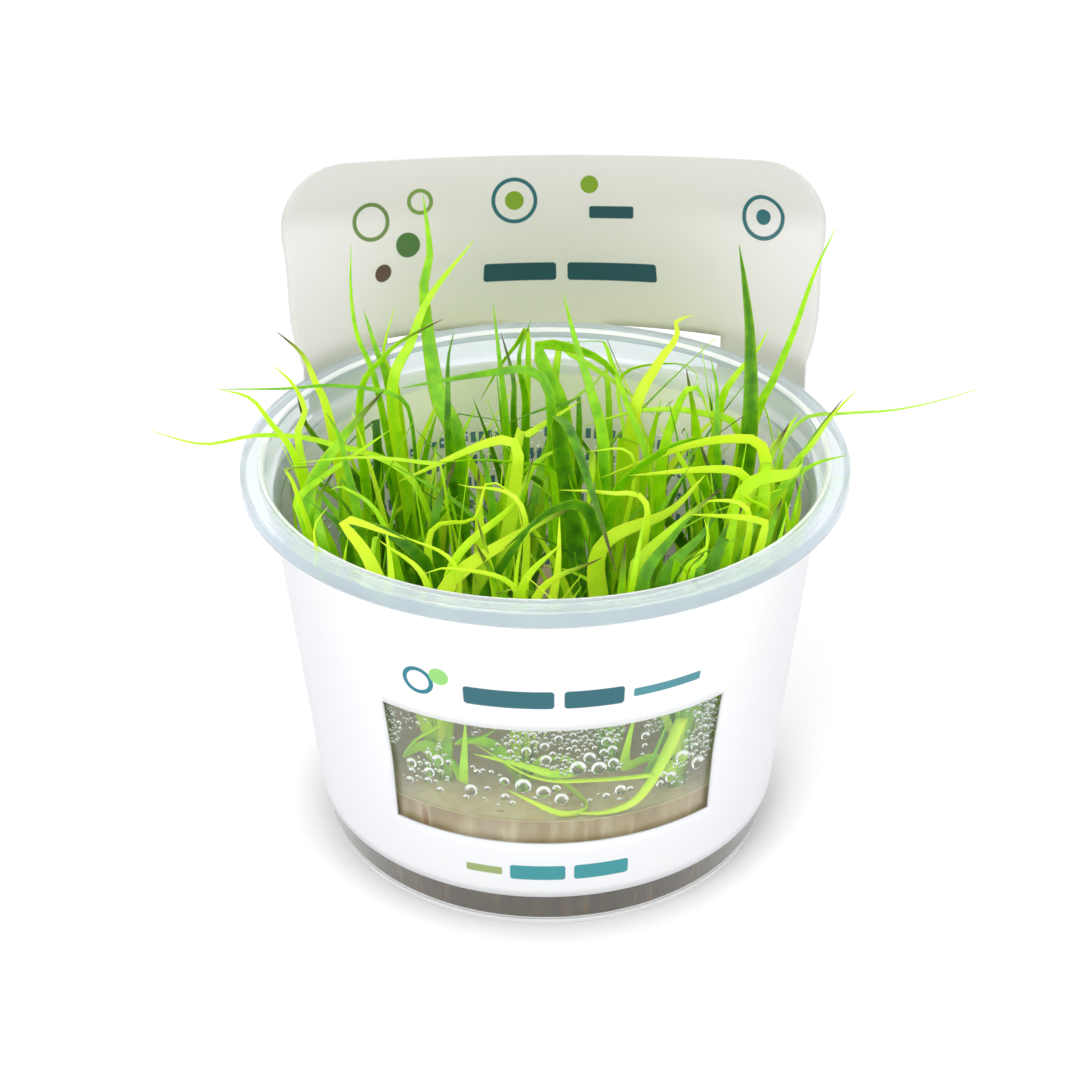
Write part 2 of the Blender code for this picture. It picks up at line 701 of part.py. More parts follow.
def main():
    """Build every sub-part of the planted cup."""
    for old in list(bpy.data.objects):
        bpy.data.objects.remove(old)
    clear_plastic = material("clear_plastic", (0.86, 0.89, 0.89), 0.08, 0.35, 0.9, 1.49)
    agar = material("agar", (0.34, 0.29, 0.18), 0.12, 0.6, 0.8, 1.34)
    white_card = material("white_card", (0.90, 0.90, 0.88), 0.55)
    rush_green = material("rush_green", (0.25, 0.50, 0.03), 0.42)
    cup = build_cup(clear_plastic)
    gel = build_gel(agar)
    sleeve = build_sleeve(white_card)
    blades = grow_blades((cup, gel, sleeve))
    build_plantlets(blades, rush_green)


main()
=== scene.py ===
"""Looks of a tissue culture cup of creeping rush: clear cup, gel, card sleeve and plantlets.

Metres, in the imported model's frame: +Z up, the cup's front and the sleeve's window face -Y.
"""

import logging
import math
import random
from collections.abc import Iterable
from dataclasses import dataclass, replace
from enum import Enum

import bmesh
import bpy
import numpy as np
from mathutils import Matrix, Quaternion, Vector
from mathutils.bvhtree import BVHTree


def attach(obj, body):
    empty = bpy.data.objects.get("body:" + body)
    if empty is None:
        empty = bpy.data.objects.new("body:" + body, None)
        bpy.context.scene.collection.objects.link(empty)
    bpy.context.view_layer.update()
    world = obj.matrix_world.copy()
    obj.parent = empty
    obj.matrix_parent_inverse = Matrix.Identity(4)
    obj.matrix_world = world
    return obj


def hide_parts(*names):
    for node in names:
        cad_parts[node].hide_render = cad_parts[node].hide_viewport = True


LOG = logging.getLogger("culture_cup")
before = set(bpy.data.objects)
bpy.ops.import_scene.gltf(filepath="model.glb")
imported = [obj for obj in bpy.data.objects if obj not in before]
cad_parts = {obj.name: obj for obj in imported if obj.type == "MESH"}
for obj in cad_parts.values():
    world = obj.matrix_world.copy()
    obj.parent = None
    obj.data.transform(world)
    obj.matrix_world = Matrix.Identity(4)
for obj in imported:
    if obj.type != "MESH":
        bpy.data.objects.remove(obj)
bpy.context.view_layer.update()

MM = 0.001
ROOT_BODY = "root"

# Two values that belong together, such as the least and the most
Span = tuple[float, float]

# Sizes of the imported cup, gel and sleeve, which the pieces below share
WALL_SLOPE = 0.1027
BODY_RADIUS = 36.25 * MM
WALL = 0.7 * MM
FLOOR_Z = 0.8 * MM
FLOOR_FILLET = 0.9 * MM
SHOULDER_Z = 60.0 * MM
COLLAR_STEP = 1.5 * MM
RIM_Z = 65.1 * MM
GEL_TOP_Z = 21.0 * MM
GAP = 0.3 * MM

# Points nearer than this to each other are one
MERGE = 0.001 * MM


def smoothstep(low: float, high: float, value: float) -> float:
    """Rise from 0 at low to 1 at high with level ends.

    Args:
        low: Value where the rise starts.
        high: Value where the rise ends.
        value: Value to rate.

    Returns:
        The share of the rise, from 0 to 1.
    """
    share = min(1.0, max(0.0, (value - low) / (high - low)))
    return share * share * (3.0 - 2.0 * share)


def outer_radius(height: float) -> float:
    """Return the outside radius of the cup's body at a height."""
    return BODY_RADIUS + WALL_SLOPE * height


def inner_radius(height: float) -> float:
    """Return the inside radius of the cup at a height, past the step under the collar."""
    step = COLLAR_STEP * smoothstep(SHOULDER_Z - WALL, SHOULDER_Z + WALL, height)
    return outer_radius(height) - WALL + step


def held_in(point: Vector, clearance: float) -> Vector:
    """Bring a point below the rim inside the cup, as the wall holds a leaf that leans on it.

    Args:
        point: Place of the leaf.
        clearance: Space that is left between the place and the wall.

    Returns:
        The same place, or the nearest one off the wall at its height.
    """
    if point.z > RIM_Z + MM:
        return point
    most = inner_radius(min(point.z, SHOULDER_Z - MM)) - clearance
    if point.xy.length <= most:
        return point
    side = point.xy.normalized() * most
    return Vector((side.x, side.y, point.z))


# Materials

Stops = tuple[tuple[float, str], ...]
Sockets = dict[str, bpy.types.NodeSocket]

# A Mix node's two colour inputs and its colour output, which share names with others
FIRST = 6
SECOND = 7
MIXED = 2


def linear(hex_colour: str) -> tuple[float, float, float, float]:
    """Turn an sRGB hex colour to linear.

    Args:
        hex_colour: Six hex digits.

    Returns:
        Red, green, blue and an alpha of 1.
    """
    shares = [int(hex_colour[i : i + 2], 16) / 255 for i in (0, 2, 4)]
    lit = [s / 12.92 if s <= 0.04045 else ((s + 0.055) / 1.055) ** 2.4 for s in shares]
    return (lit[0], lit[1], lit[2], 1.0)


def add_node(
    tree: bpy.types.NodeTree,
    kind: str,
    inputs: dict[str | int, object] | None = None,
    stops: Stops = (),
    **settings: object,
) -> bpy.types.NodeOutputs:
    """Add a shader node with its settings, its input values and its links.

    Args:
        tree: Node tree that takes the node.
        kind: Node's type name, without the ShaderNode in front.
        inputs: Value, or output socket to link, for each input by name or number.
        stops: Place and hex colour of each stop in order, where the node is a colour ramp.
        settings: Properties of the node.

    Returns:
        The new node's outputs.
    """
    node = tree.nodes.new(f"ShaderNode{kind}")
    for name, value in settings.items():
        setattr(node, name, value)
    for key, value in (inputs or {}).items():
        if isinstance(value, bpy.types.NodeSocket):
            tree.links.new(value, node.inputs[key])
        else:
            node.inputs[key].default_value = value
    if stops:
        elements = node.color_ramp.elements
        while len(elements) < len(stops):
            elements.new(0.5)
        for element, (place, colour) in zip(elements, stops):
            element.position = place
            element.color = linear(colour)
    return node.outputs


@dataclass(frozen=True)
class Finish:
    """A material of the object, named for what it is made of and how."""

    name: str

    def make(self) -> bpy.types.Material:
        """Make the material.

        Returns:
            The material, with its nodes.
        """
        made = bpy.data.materials.new(self.name)
        made.use_nodes = True
        made.node_tree.nodes.clear()
        add_node(made.node_tree, "OutputMaterial", self.paint(made.node_tree))
        return made

    def paint(self, tree: bpy.types.NodeTree) -> Sockets:
        """Fill the node tree.

        Args:
            tree: The material's empty node tree.

        Returns:
            The socket for each input of the material's output.
        """
        raise NotImplementedError


def lit_through(
    tree: bpy.types.NodeTree, shader: bpy.types.NodeSocket, clear: float
) -> bpy.types.NodeSocket:
    """Let light pass straight through a clear thin wall to what is behind it.

    Args:
        tree: Node tree of the wall's material.
        shader: The wall's own shader.
        clear: Share of the light that passes.

    Returns:
        The wall's shader for eyes and reflections, and a clear one for shadows.
    """
    path = add_node(tree, "LightPath")
    rays = {0: path["Is Shadow Ray"], 1: path["Is Diffuse Ray"]}
    soft = add_node(tree, "Math", rays, operation="MAXIMUM")[0]
    passing = add_node(tree, "BsdfTransparent", {"Color": (clear, clear, clear, 1.0)})["BSDF"]
    return add_node(tree, "MixShader", {0: soft, 1: shader, 2: passing})["Shader"]


@dataclass(frozen=True)
class MouldedPolypropylene(Finish):
    """Thin-wall, injection-moulded clear polypropylene: clear in the wall, faintly milky."""

    tint: str = "F7FAFA"
    roughness: float = 0.05
    clearness: float = 0.99
    passes: float = 0.96
    ior: float = 1.49
    flow_mm: float = 9.0
    # Scuffs are finer in real plastic, and drawn as coarse as they need to show
    scuff_mm: float = 0.7

    def paint(self, tree: bpy.types.NodeTree) -> Sockets:
        """Fill the node tree: glassy, with slow flow waves and fine scuffs in its gloss.

        Args:
            tree: The material's empty node tree.

        Returns:
            The shader.
        """
        place = add_node(tree, "TexCoord")["Object"]
        waves = {"Vector": place, "Scale": 1 / (self.flow_mm * MM)}
        flow = add_node(tree, "TexNoise", waves)["Fac"]
        scuffs = {"Vector": place, "Scale": 1 / (self.scuff_mm * MM)}
        scuff = add_node(tree, "TexNoise", scuffs)["Fac"]
        gloss = add_node(
            tree,
            "MapRange",
            {
                "Value": scuff,
                "From Min": 0.35,
                "From Max": 0.75,
                "To Min": 0.5 * self.roughness,
                "To Max": 2.2 * self.roughness,
            },
        )["Result"]
        relief = {"Height": flow, "Strength": 0.02, "Distance": 0.1 * MM}
        shader = add_node(
            tree,
            "BsdfPrincipled",
            {
                "Base Color": linear(self.tint),
                "Roughness": gloss,
                "IOR": self.ior,
                "Transmission Weight": self.clearness,
                "Normal": add_node(tree, "Bump", relief)["Normal"],
            },
        )["BSDF"]
        return {"Surface": lit_through(tree, shader, self.passes)}


@dataclass(frozen=True)
class SetAgar(Finish):
    """Agar gel, poured and set: clear at its skin, grey-brown and cloudy in its depth, its colour
    painted darker towards the bottom as shade.
    """

    depth_tint: str = "A89676"
    density_per_m: float = 70.0
    clearness: float = 0.3
    passes: float = 0.97
    ior: float = 1.34
    roughness: float = 0.1
    ripple_mm: float = 6.0
    streak_mm: float = 2.2
    streak_squash: float = 0.12
    # Painted shade: below this height the colour takes the dark lower stops, over the gel's own
    # grey-brown; above light_above it takes the upper stops
    dark_below: float = 6.0 * MM
    light_above: float = 20.0 * MM
    upper: Stops = ((0.3, "A08A58"), (0.52, "BCA674"), (0.66, "D0BE94"), (0.74, "9C6C30"))
    lower: Stops = ((0.3, "3A2C14"), (0.55, "4C3D22"), (0.68, "70582E"), (0.76, "9C7A40"))

    def paint(self, tree: bpy.types.NodeTree) -> Sockets:
        """Fill the node tree: a glassy skin with low ripples over an absorbing depth, its colour
        painted darker towards the bottom as shade.

        Args:
            tree: The material's empty node tree.

        Returns:
            The skin's shader and the depth's.
        """
        place = add_node(tree, "TexCoord")["Object"]
        ripples = {"Vector": place, "Scale": 1 / (self.ripple_mm * MM)}
        ripple = add_node(tree, "TexNoise", ripples)["Fac"]
        relief = {"Height": ripple, "Strength": 0.25, "Distance": 0.5 * MM}
        squash = {0: place, 1: (1.0, 1.0, self.streak_squash)}
        tall = add_node(tree, "VectorMath", squash, operation="MULTIPLY")[0]
        streaks = {"Vector": tall, "Scale": 1 / (self.streak_mm * MM), "Detail": 3.0}
        streak = add_node(tree, "TexNoise", streaks)["Fac"]
        high = add_node(tree, "ValToRGB", {"Fac": streak}, self.upper)["Color"]
        low = add_node(tree, "ValToRGB", {"Fac": streak}, self.lower)["Color"]
        share = add_node(
            tree,
            "MapRange",
            {
                "Value": add_node(tree, "SeparateXYZ", {"Vector": place})["Z"],
                "From Min": self.dark_below,
                "From Max": self.light_above,
            },
            interpolation_type="SMOOTHSTEP",
        )["Result"]
        # Painted shade: the dark lower stops at the bottom fade into the upper ones with height
        shade_by_height = {0: share, FIRST: low, SECOND: high}
        shader = add_node(
            tree,
            "BsdfPrincipled",
            {
                "Base Color": add_node(tree, "Mix", shade_by_height, data_type="RGBA")[MIXED],
                "Roughness": self.roughness,
                "IOR": self.ior,
                "Transmission Weight": self.clearness,
                "Normal": add_node(tree, "Bump", relief)["Normal"],
            },
        )["BSDF"]
        soaked = {"Color": linear(self.depth_tint), "Density": self.density_per_m}
        depth = add_node(tree, "VolumeAbsorption", soaked)["Volume"]
        return {"Surface": lit_through(tree, shader, self.passes), "Volume": depth}


@dataclass(frozen=True)
class CondensedWater(Finish):
    """Drops of condensed water: clear and glossy, with a painted white highlight near each drop's
    top.
    """

    ior: float = 1.33
    passes: float = 0.92
    wave_mm: float = 1.5
    colour: str = "FFFFFF"

    def paint(self, tree: bpy.types.NodeTree) -> Sockets:
        """Fill the node tree: clear water, mixed towards plain white in a painted highlight
        crescent near each drop's top.

        Args:
            tree: The material's empty node tree.

        Returns:
            The shader.
        """
        place = add_node(tree, "TexCoord")["Object"]
        waves = {"Vector": place, "Scale": 1 / (self.wave_mm * MM)}
        wave = add_node(tree, "TexNoise", waves)["Fac"]
        relief = {"Height": wave, "Strength": 0.1, "Distance": 0.05 * MM}
        clear = add_node(
            tree,
            "BsdfPrincipled",
            {
                "Base Color": linear(self.colour),
                "Roughness": 0.0,
                "IOR": self.ior,
                "Transmission Weight": 1.0,
                "Normal": add_node(tree, "Bump", relief)["Normal"],
            },
        )["BSDF"]
        # Plain white diffuse, mixed in by the attribute as a painted highlight
        painted_white = add_node(tree, "BsdfDiffuse", {"Color": linear(self.colour)})["BSDF"]
        painted_highlight = add_node(tree, "Attribute", attribute_name="painted_highlight")["Fac"]
        drop = add_node(tree, "MixShader", {0: painted_highlight, 1: clear, 2: painted_white})["Shader"]
        return {"Surface": lit_through(tree, drop, self.passes)}


@dataclass(frozen=True)
class LeafTissue(Finish):
    """Living rush leaf: waxy, juicy and thin, so light glows through it yellow-green."""

    greens: Stops = ((0.0, "2C6401"), (0.3, "68AE02"), (0.6, "A8EA06"), (1.0, "CEFF2C"))
    foot_colour: str = "C9DC8A"
    foot_paleness: float = 0.35
    foot_ends: float = 0.16
    tip_colour: str = "4A3426"
    tip: Span = (0.84, 0.97)
    # Veins stand closer in a real leaf, and are drawn this far apart to show
    vein_mm: float = 0.35
    vein_contrast: float = 0.05
    blotch_mm: float = 2.5
    blotch_contrast: float = 0.1
    roughness: float = 0.38

    def paint(self, tree: bpy.types.NodeTree) -> Sockets:
        """Fill the node tree: tone for each blade, pale foot, dry tip, veins along the blade.

        Args:
            tree: The material's empty node tree.

        Returns:
            The shader.
        """
        spot = add_node(tree, "UVMap", uv_map="blade")["UV"]
        split = add_node(tree, "SeparateXYZ", {"Vector": spot})
        tone = add_node(tree, "Attribute", attribute_name="tone")["Fac"]
        dry = add_node(tree, "Attribute", attribute_name="dry")["Fac"]
        place = add_node(tree, "TexCoord")["Object"]
        blotches = {"Vector": place, "Scale": 1 / (self.blotch_mm * MM)}
        blotch = add_node(tree, "TexNoise", blotches)["Fac"]
        across = {0: split["X"], 1: math.tau / (self.vein_mm * MM)}
        vein = add_node(tree, "Math", across, operation="MULTIPLY")[0]
        wave = add_node(tree, "Math", {0: vein}, operation="SINE")[0]
        uneven = add_node(
            tree,
            "MapRange",
            {
                "Value": blotch,
                "From Min": 0.3,
                "From Max": 0.7,
                "To Min": -self.blotch_contrast,
                "To Max": self.blotch_contrast,
            },
        )["Result"]
        stripes = {0: wave, 1: self.vein_contrast, 2: uneven}
        striped = add_node(tree, "Math", stripes, operation="MULTIPLY_ADD")[0]
        shade = add_node(tree, "Math", {0: tone, 1: striped}, operation="ADD")[0]
        green = add_node(tree, "ValToRGB", {"Fac": shade}, self.greens)["Color"]
        foot = add_node(
            tree,
            "MapRange",
            {
                "Value": split["Y"],
                "From Min": 0.0,
                "From Max": self.foot_ends,
                "To Min": self.foot_paleness,
                "To Max": 0.0,
            },
        )["Result"]
        footed = {0: foot, FIRST: green, SECOND: linear(self.foot_colour)}
        pale = add_node(tree, "Mix", footed, data_type="RGBA")[MIXED]
        end = {"Value": split["Y"], "From Min": self.tip[0], "From Max": self.tip[1]}
        tip = add_node(tree, "MapRange", end)["Result"]
        browned = add_node(tree, "Math", {0: tip, 1: dry}, operation="MULTIPLY")[0]
        tipped = {0: browned, FIRST: pale, SECOND: linear(self.tip_colour)}
        relief = {"Height": wave, "Strength": 0.15, "Distance": 0.04 * MM}
        shader = add_node(
            tree,
            "BsdfPrincipled",
            {
                "Base Color": add_node(tree, "Mix", tipped, data_type="RGBA")[MIXED],
                "Roughness": self.roughness,
                "Specular IOR Level": 0.3,
                "Subsurface Weight": 0.6,
                "Subsurface Radius": (0.8, 1.0, 0.15),
                "Subsurface Scale": 0.7 * MM,
                "Normal": add_node(tree, "Bump", relief)["Normal"],
            },
        )["BSDF"]
        return {"Surface": shader}


@dataclass(frozen=True)
class RootTissue(Finish):
    """Young root grown in gel: pale, wet and smooth."""

    creams: Stops = ((0.35, "DCD8A8"), (0.65, "F2EEDC"))
    patch_mm: float = 1.2
    roughness: float = 0.35

    def paint(self, tree: bpy.types.NodeTree) -> Sockets:
        """Fill the node tree: cream with greenish patches.

        Args:
            tree: The material's empty node tree.

        Returns:
            The shader.
        """
        place = add_node(tree, "TexCoord")["Object"]
        patches = {"Vector": place, "Scale": 1 / (self.patch_mm * MM)}
        patch = add_node(tree, "TexNoise", patches)["Fac"]
        relief = {"Height": patch, "Strength": 0.2, "Distance": 0.05 * MM}
        shader = add_node(
            tree,
            "BsdfPrincipled",
            {
                "Base Color": add_node(tree, "ValToRGB", {"Fac": patch}, self.creams)["Color"],
                "Roughness": self.roughness,
                "Subsurface Weight": 0.3,
                "Subsurface Scale": 0.5 * MM,
                "Normal": add_node(tree, "Bump", relief)["Normal"],
            },
        )["BSDF"]
        return {"Surface": shader}


class MarkShape(Enum):
    """Shapes that the card's plain printed marks have."""

    BAR = "bar"
    RING = "ring"
    DISC = "disc"


@dataclass(frozen=True)
class Mark:
    """One printed mark, in mm on the card."""

    shape: MarkShape
    place: Span
    size: Span
    colour: str
    corner_share: float = 0.35
    ring_half: float = 0.35
    edge: float = 0.06

    def mask(self, tree: bpy.types.NodeTree, uv: bpy.types.NodeSocket) -> bpy.types.NodeSocket:
        """Work out where the mark has ink.

        Args:
            tree: Node tree that takes the nodes.
            uv: Place on the card in mm.

        Returns:
            A socket that is 1 on the mark and 0 off it.
        """
        moved = {"Vector": uv, "Location": (*self.place, 0.0)}
        local = add_node(tree, "Mapping", moved, vector_type="TEXTURE")["Vector"]
        half_w, half_h = 0.5 * self.size[0], 0.5 * self.size[1]
        if self.shape is MarkShape.BAR:
            reach = self.corner_share * min(half_w, half_h)
            inner = (half_w - reach, half_h - reach, 0.0)
            away = add_node(tree, "VectorMath", {0: local}, operation="ABSOLUTE")[0]
            past = add_node(tree, "VectorMath", {0: away, 1: inner}, operation="SUBTRACT")[0]
            held = {0: past, 1: (0.0, 0.0, 0.0)}
            measured = add_node(tree, "VectorMath", held, operation="MAXIMUM")[0]
        else:
            reach = half_w
            circled = {0: local, 1: (1.0, half_w / half_h, 0.0)}
            measured = add_node(tree, "VectorMath", circled, operation="MULTIPLY")[0]
        length = add_node(tree, "VectorMath", {0: measured}, operation="LENGTH")["Value"]
        off = add_node(tree, "Math", {0: length, 1: reach}, operation="SUBTRACT")[0]
        if self.shape is MarkShape.RING:
            band = add_node(tree, "Math", {0: off}, operation="ABSOLUTE")[0]
            off = add_node(tree, "Math", {0: band, 1: self.ring_half}, operation="SUBTRACT")[0]
        fade = {"From Min": -self.edge, "From Max": self.edge, "To Min": 1.0, "To Max": 0.0}
        return add_node(tree, "MapRange", {"Value": off, **fade})["Result"]


@dataclass(frozen=True)
class BlockRows:
    """Rows of small printed blocks, uneven in height, with a break now and then."""

    low_mm: float = 18.0
    high_mm: float = 49.6
    row_mm: float = 4.15
    tall_mm: float = 1.3
    taller_mm: float = 0.9
    run_mm: float = 7.6
    gap_mm: float = 1.6
    block_mm: float = 1.45
    apart_mm: float = 0.55
    half_mm: float = 35.0
    shift_mm: float = 9.0
    stretch_mm: float = 9.0
    stretch_per_mm: float = 0.13

    def mask(self, tree: bpy.types.NodeTree, uv: bpy.types.NodeSocket) -> bpy.types.NodeSocket:
        """Work out where the blocks have ink.

        Args:
            tree: Node tree that takes the nodes.
            uv: Place on the card in mm.

        Returns:
            A socket that is 1 on a block and 0 off it.
        """
        split = add_node(tree, "SeparateXYZ", {"Vector": uv})
        pace = {0: split["Y"], 1: 1 / self.row_mm}
        down = add_node(tree, "Math", pace, operation="MULTIPLY")[0]
        row = add_node(tree, "Math", {0: down}, operation="FLOOR")[0]
        in_row = add_node(tree, "Math", {0: down}, operation="FRACT")[0]
        start = add_node(tree, "TexWhiteNoise", {"W": row}, noise_dimensions="1D")["Value"]
        shift = {0: start, 1: self.shift_mm, 2: split["X"]}
        moved = add_node(tree, "Math", shift, operation="MULTIPLY_ADD")[0]
        slow = {"W": moved, "Scale": self.stretch_per_mm, "Detail": 0.0}
        uneven = add_node(tree, "TexNoise", slow, noise_dimensions="1D")["Fac"]
        stretch = {0: uneven, 1: self.stretch_mm, 2: moved}
        along = add_node(tree, "Math", stretch, operation="MULTIPLY_ADD")[0]
        runs = add_node(tree, "Math", {0: along, 1: 1 / self.run_mm}, operation="MULTIPLY")[0]
        in_run = add_node(tree, "Math", {0: runs}, operation="FRACT")[0]
        blocks = add_node(tree, "Math", {0: moved, 1: 1 / self.block_mm}, operation="MULTIPLY")[0]
        number = add_node(tree, "Math", {0: blocks}, operation="FLOOR")[0]
        in_block = add_node(tree, "Math", {0: blocks}, operation="FRACT")[0]
        pick = add_node(tree, "TexWhiteNoise", {"W": number}, noise_dimensions="1D")["Value"]
        height = {0: pick, 1: self.taller_mm / self.row_mm, 2: self.tall_mm / self.row_mm}
        top = add_node(tree, "Math", height, operation="MULTIPLY_ADD")[0]
        off = add_node(tree, "Math", {0: split["X"]}, operation="ABSOLUTE")[0]
        ink: bpy.types.NodeSocket | float = 1.0
        for value, limit, test in (
            (in_run, self.gap_mm / self.run_mm, "GREATER_THAN"),
            (in_block, self.apart_mm / self.block_mm, "GREATER_THAN"),
            (in_row, top, "LESS_THAN"),
            (off, self.half_mm, "LESS_THAN"),
            (split["Y"], self.low_mm, "GREATER_THAN"),
            (split["Y"], self.high_mm, "LESS_THAN"),
        ):
            passed = add_node(tree, "Math", {0: value, 1: limit}, operation=test)[0]
            ink = add_node(tree, "Math", {0: ink, 1: passed}, operation="MULTIPLY")[0]
        return ink


@dataclass(frozen=True)
class CoatedCard(Finish):
    """Folding boxboard, coated and offset-printed: white, half matt, with a fine felt grain."""

    # Colour stops by height; on the inside they hold painted light as well as print
    ground: Stops
    side_colour: str
    uv_map: str = "card"
    marks: tuple[Mark, ...] = ()
    rows: BlockRows | None = None
    rows_colour: str = "4E7F88"
    # Card fibres are finer, and their felt is drawn as coarse as it needs to show
    fibre_mm: float = 0.45
    cloud_mm: float = 14.0
    cloud_share: float = 0.03
    top_mm: float = 95.0
    side_mm: Span = (18.0, 46.0)
    glow: float = 0.2

    def paint(self, tree: bpy.types.NodeTree) -> Sockets:
        """Fill the node tree: ground colour by height, side colour, rows of blocks, marks and felt
        grain; on the inside the ground is partly print and partly painted light.

        Args:
            tree: The material's empty node tree.

        Returns:
            The shader.
        """
        uv = add_node(tree, "UVMap", uv_map=self.uv_map)["UV"]
        split = add_node(tree, "SeparateXYZ", {"Vector": uv})
        cloud = add_node(tree, "TexNoise", {"Vector": uv, "Scale": 1 / self.cloud_mm})["Fac"]
        share = {0: split["Y"], 1: 1 / self.top_mm}
        height = add_node(tree, "Math", share, operation="MULTIPLY")[0]
        clouded = {0: cloud, 1: self.cloud_share, 2: height}
        drift = add_node(tree, "Math", clouded, operation="MULTIPLY_ADD")[0]
        colour = add_node(tree, "ValToRGB", {"Fac": drift}, self.ground)["Color"]
        off = add_node(tree, "Math", {0: split["X"]}, operation="ABSOLUTE")[0]
        turning = {"Value": off, "From Min": self.side_mm[0], "From Max": self.side_mm[1]}
        side = add_node(tree, "MapRange", turning, interpolation_type="SMOOTHSTEP")["Result"]
        layers = [(side, self.side_colour)]
        if self.rows:
            layers.append((self.rows.mask(tree, uv), self.rows_colour))
        layers += [(mark.mask(tree, uv), mark.colour) for mark in self.marks]
        for mask, ink in layers:
            inked = {0: mask, FIRST: colour, SECOND: linear(ink)}
            colour = add_node(tree, "Mix", inked, data_type="RGBA")[MIXED]
        fibre = add_node(tree, "TexNoise", {"Vector": uv, "Scale": 1 / self.fibre_mm})["Fac"]
        gloss = {"Value": fibre, "To Min": 0.42, "To Max": 0.62}
        relief = {"Height": fibre, "Strength": 0.12, "Distance": 0.05 * MM}
        shader = add_node(
            tree,
            "BsdfPrincipled",
            {
                "Base Color": colour,
                "Roughness": add_node(tree, "MapRange", gloss)["Result"],
                "Normal": add_node(tree, "Bump", relief)["Normal"],
            },
        )["BSDF"]
        through = add_node(tree, "BsdfTranslucent", {"Color": colour})["BSDF"]
        mixed = add_node(tree, "MixShader", {0: self.glow, 1: shader, 2: through})["Shader"]
        return {"Surface": mixed}


@dataclass(frozen=True)
class StudioPaper(Finish):
    """Matt white background paper."""

    colour: str = "FAFAFA"
    grain_mm: float = 3.0

    def paint(self, tree: bpy.types.NodeTree) -> Sockets:
        """Fill the node tree: plain matt white with a trace of grain.

        Args:
            tree: The material's empty node tree.

        Returns:
            The shader.
        """
        place = add_node(tree, "TexCoord")["Object"]
        grains = {"Vector": place, "Scale": 1 / (self.grain_mm * MM)}
        grain = add_node(tree, "TexNoise", grains)["Fac"]
        matt = add_node(tree, "MapRange", {"Value": grain, "To Min": 0.8, "To Max": 0.95})
        paper = {"Base Color": linear(self.colour), "Roughness": matt["Result"]}
        return {"Surface": add_node(tree, "BsdfPrincipled", paper)["BSDF"]}


# Meshes


def put_object(
    name: str, bm: bmesh.types.BMesh, finishes: Iterable[bpy.types.Material]
) -> bpy.types.Object:
    """Put a bmesh into the scene as an object at the origin.

    Args:
        name: Object's name.
        bm: Its mesh, which is freed.
        finishes: Materials for its slots.

    Returns:
        The new object.
    """
    for face in bm.faces:
        face.smooth = True
    mesh = bpy.data.meshes.new(name)
    bm.to_mesh(mesh)
    bm.free()
    for finish in finishes:
        mesh.materials.append(finish)
    made = bpy.data.objects.new(name, mesh)
    bpy.context.scene.collection.objects.link(made)
    return made


def turned(points: Iterable[tuple[float, float]], sides: int) -> bmesh.types.BMesh:
    """Spin a profile once round Z into a closed mesh.

    Args:
        points: Radius and height of each point of the profile.
        sides: Steps of the turn.

    Returns:
        The mesh, with its faces outwards.
    """
    bm = bmesh.new()
    verts = [bm.verts.new((radius, 0.0, height)) for radius, height in points]
    edges = [bm.edges.new(pair) for pair in zip(verts, verts[1:])]
    bmesh.ops.spin(
        bm,
        geom=verts + edges,
        cent=(0.0, 0.0, 0.0),
        axis=(0.0, 0.0, 1.0),
        dvec=(0.0, 0.0, 0.0),
        angle=math.tau,
        steps=sides,
        use_merge=True,
    )
    bmesh.ops.remove_doubles(bm, verts=bm.verts, dist=MERGE)
    bmesh.ops.recalc_face_normals(bm, faces=bm.faces)
    return bm


def rounded(
    points: list[tuple[float, float, float]], steps: int = 4, most: float = 0.48
) -> list[tuple[float, float]]:
    """Round the corners of a profile.

    Args:
        points: Radius, height and corner radius of each point; the ends stay sharp.
        steps: Edges in each rounded corner.
        most: Greatest share of an edge that a corner takes up.

    Returns:
        The profile's points.
    """
    made = [(points[0][0], points[0][1])]
    for before, here, after in zip(points, points[1:], points[2:]):
        corner = Vector(here[:2])
        back = Vector(before[:2]) - corner
        ahead = Vector(after[:2]) - corner
        reach = min(here[2], most * back.length, most * ahead.length)
        start = corner + back.normalized() * reach
        end = corner + ahead.normalized() * reach
        if reach < MERGE:
            made.append((corner.x, corner.y))
            continue
        for i in range(steps + 1):
            t = i / steps
            spot = start * (1 - t) ** 2 + corner * 2 * t * (1 - t) + end * t**2
            made.append((spot.x, spot.y))
    made.append((points[-1][0], points[-1][1]))
    return made


class Zone(Enum):
    """Parts of the cup's one moulding, by the slot of their finish: the skirt is tinted darker as
    painted shade and the mouth whitened as a painted highlight.
    """

    WALL = 0
    COLLAR = 1
    SKIRT = 2
    MOUTH = 3


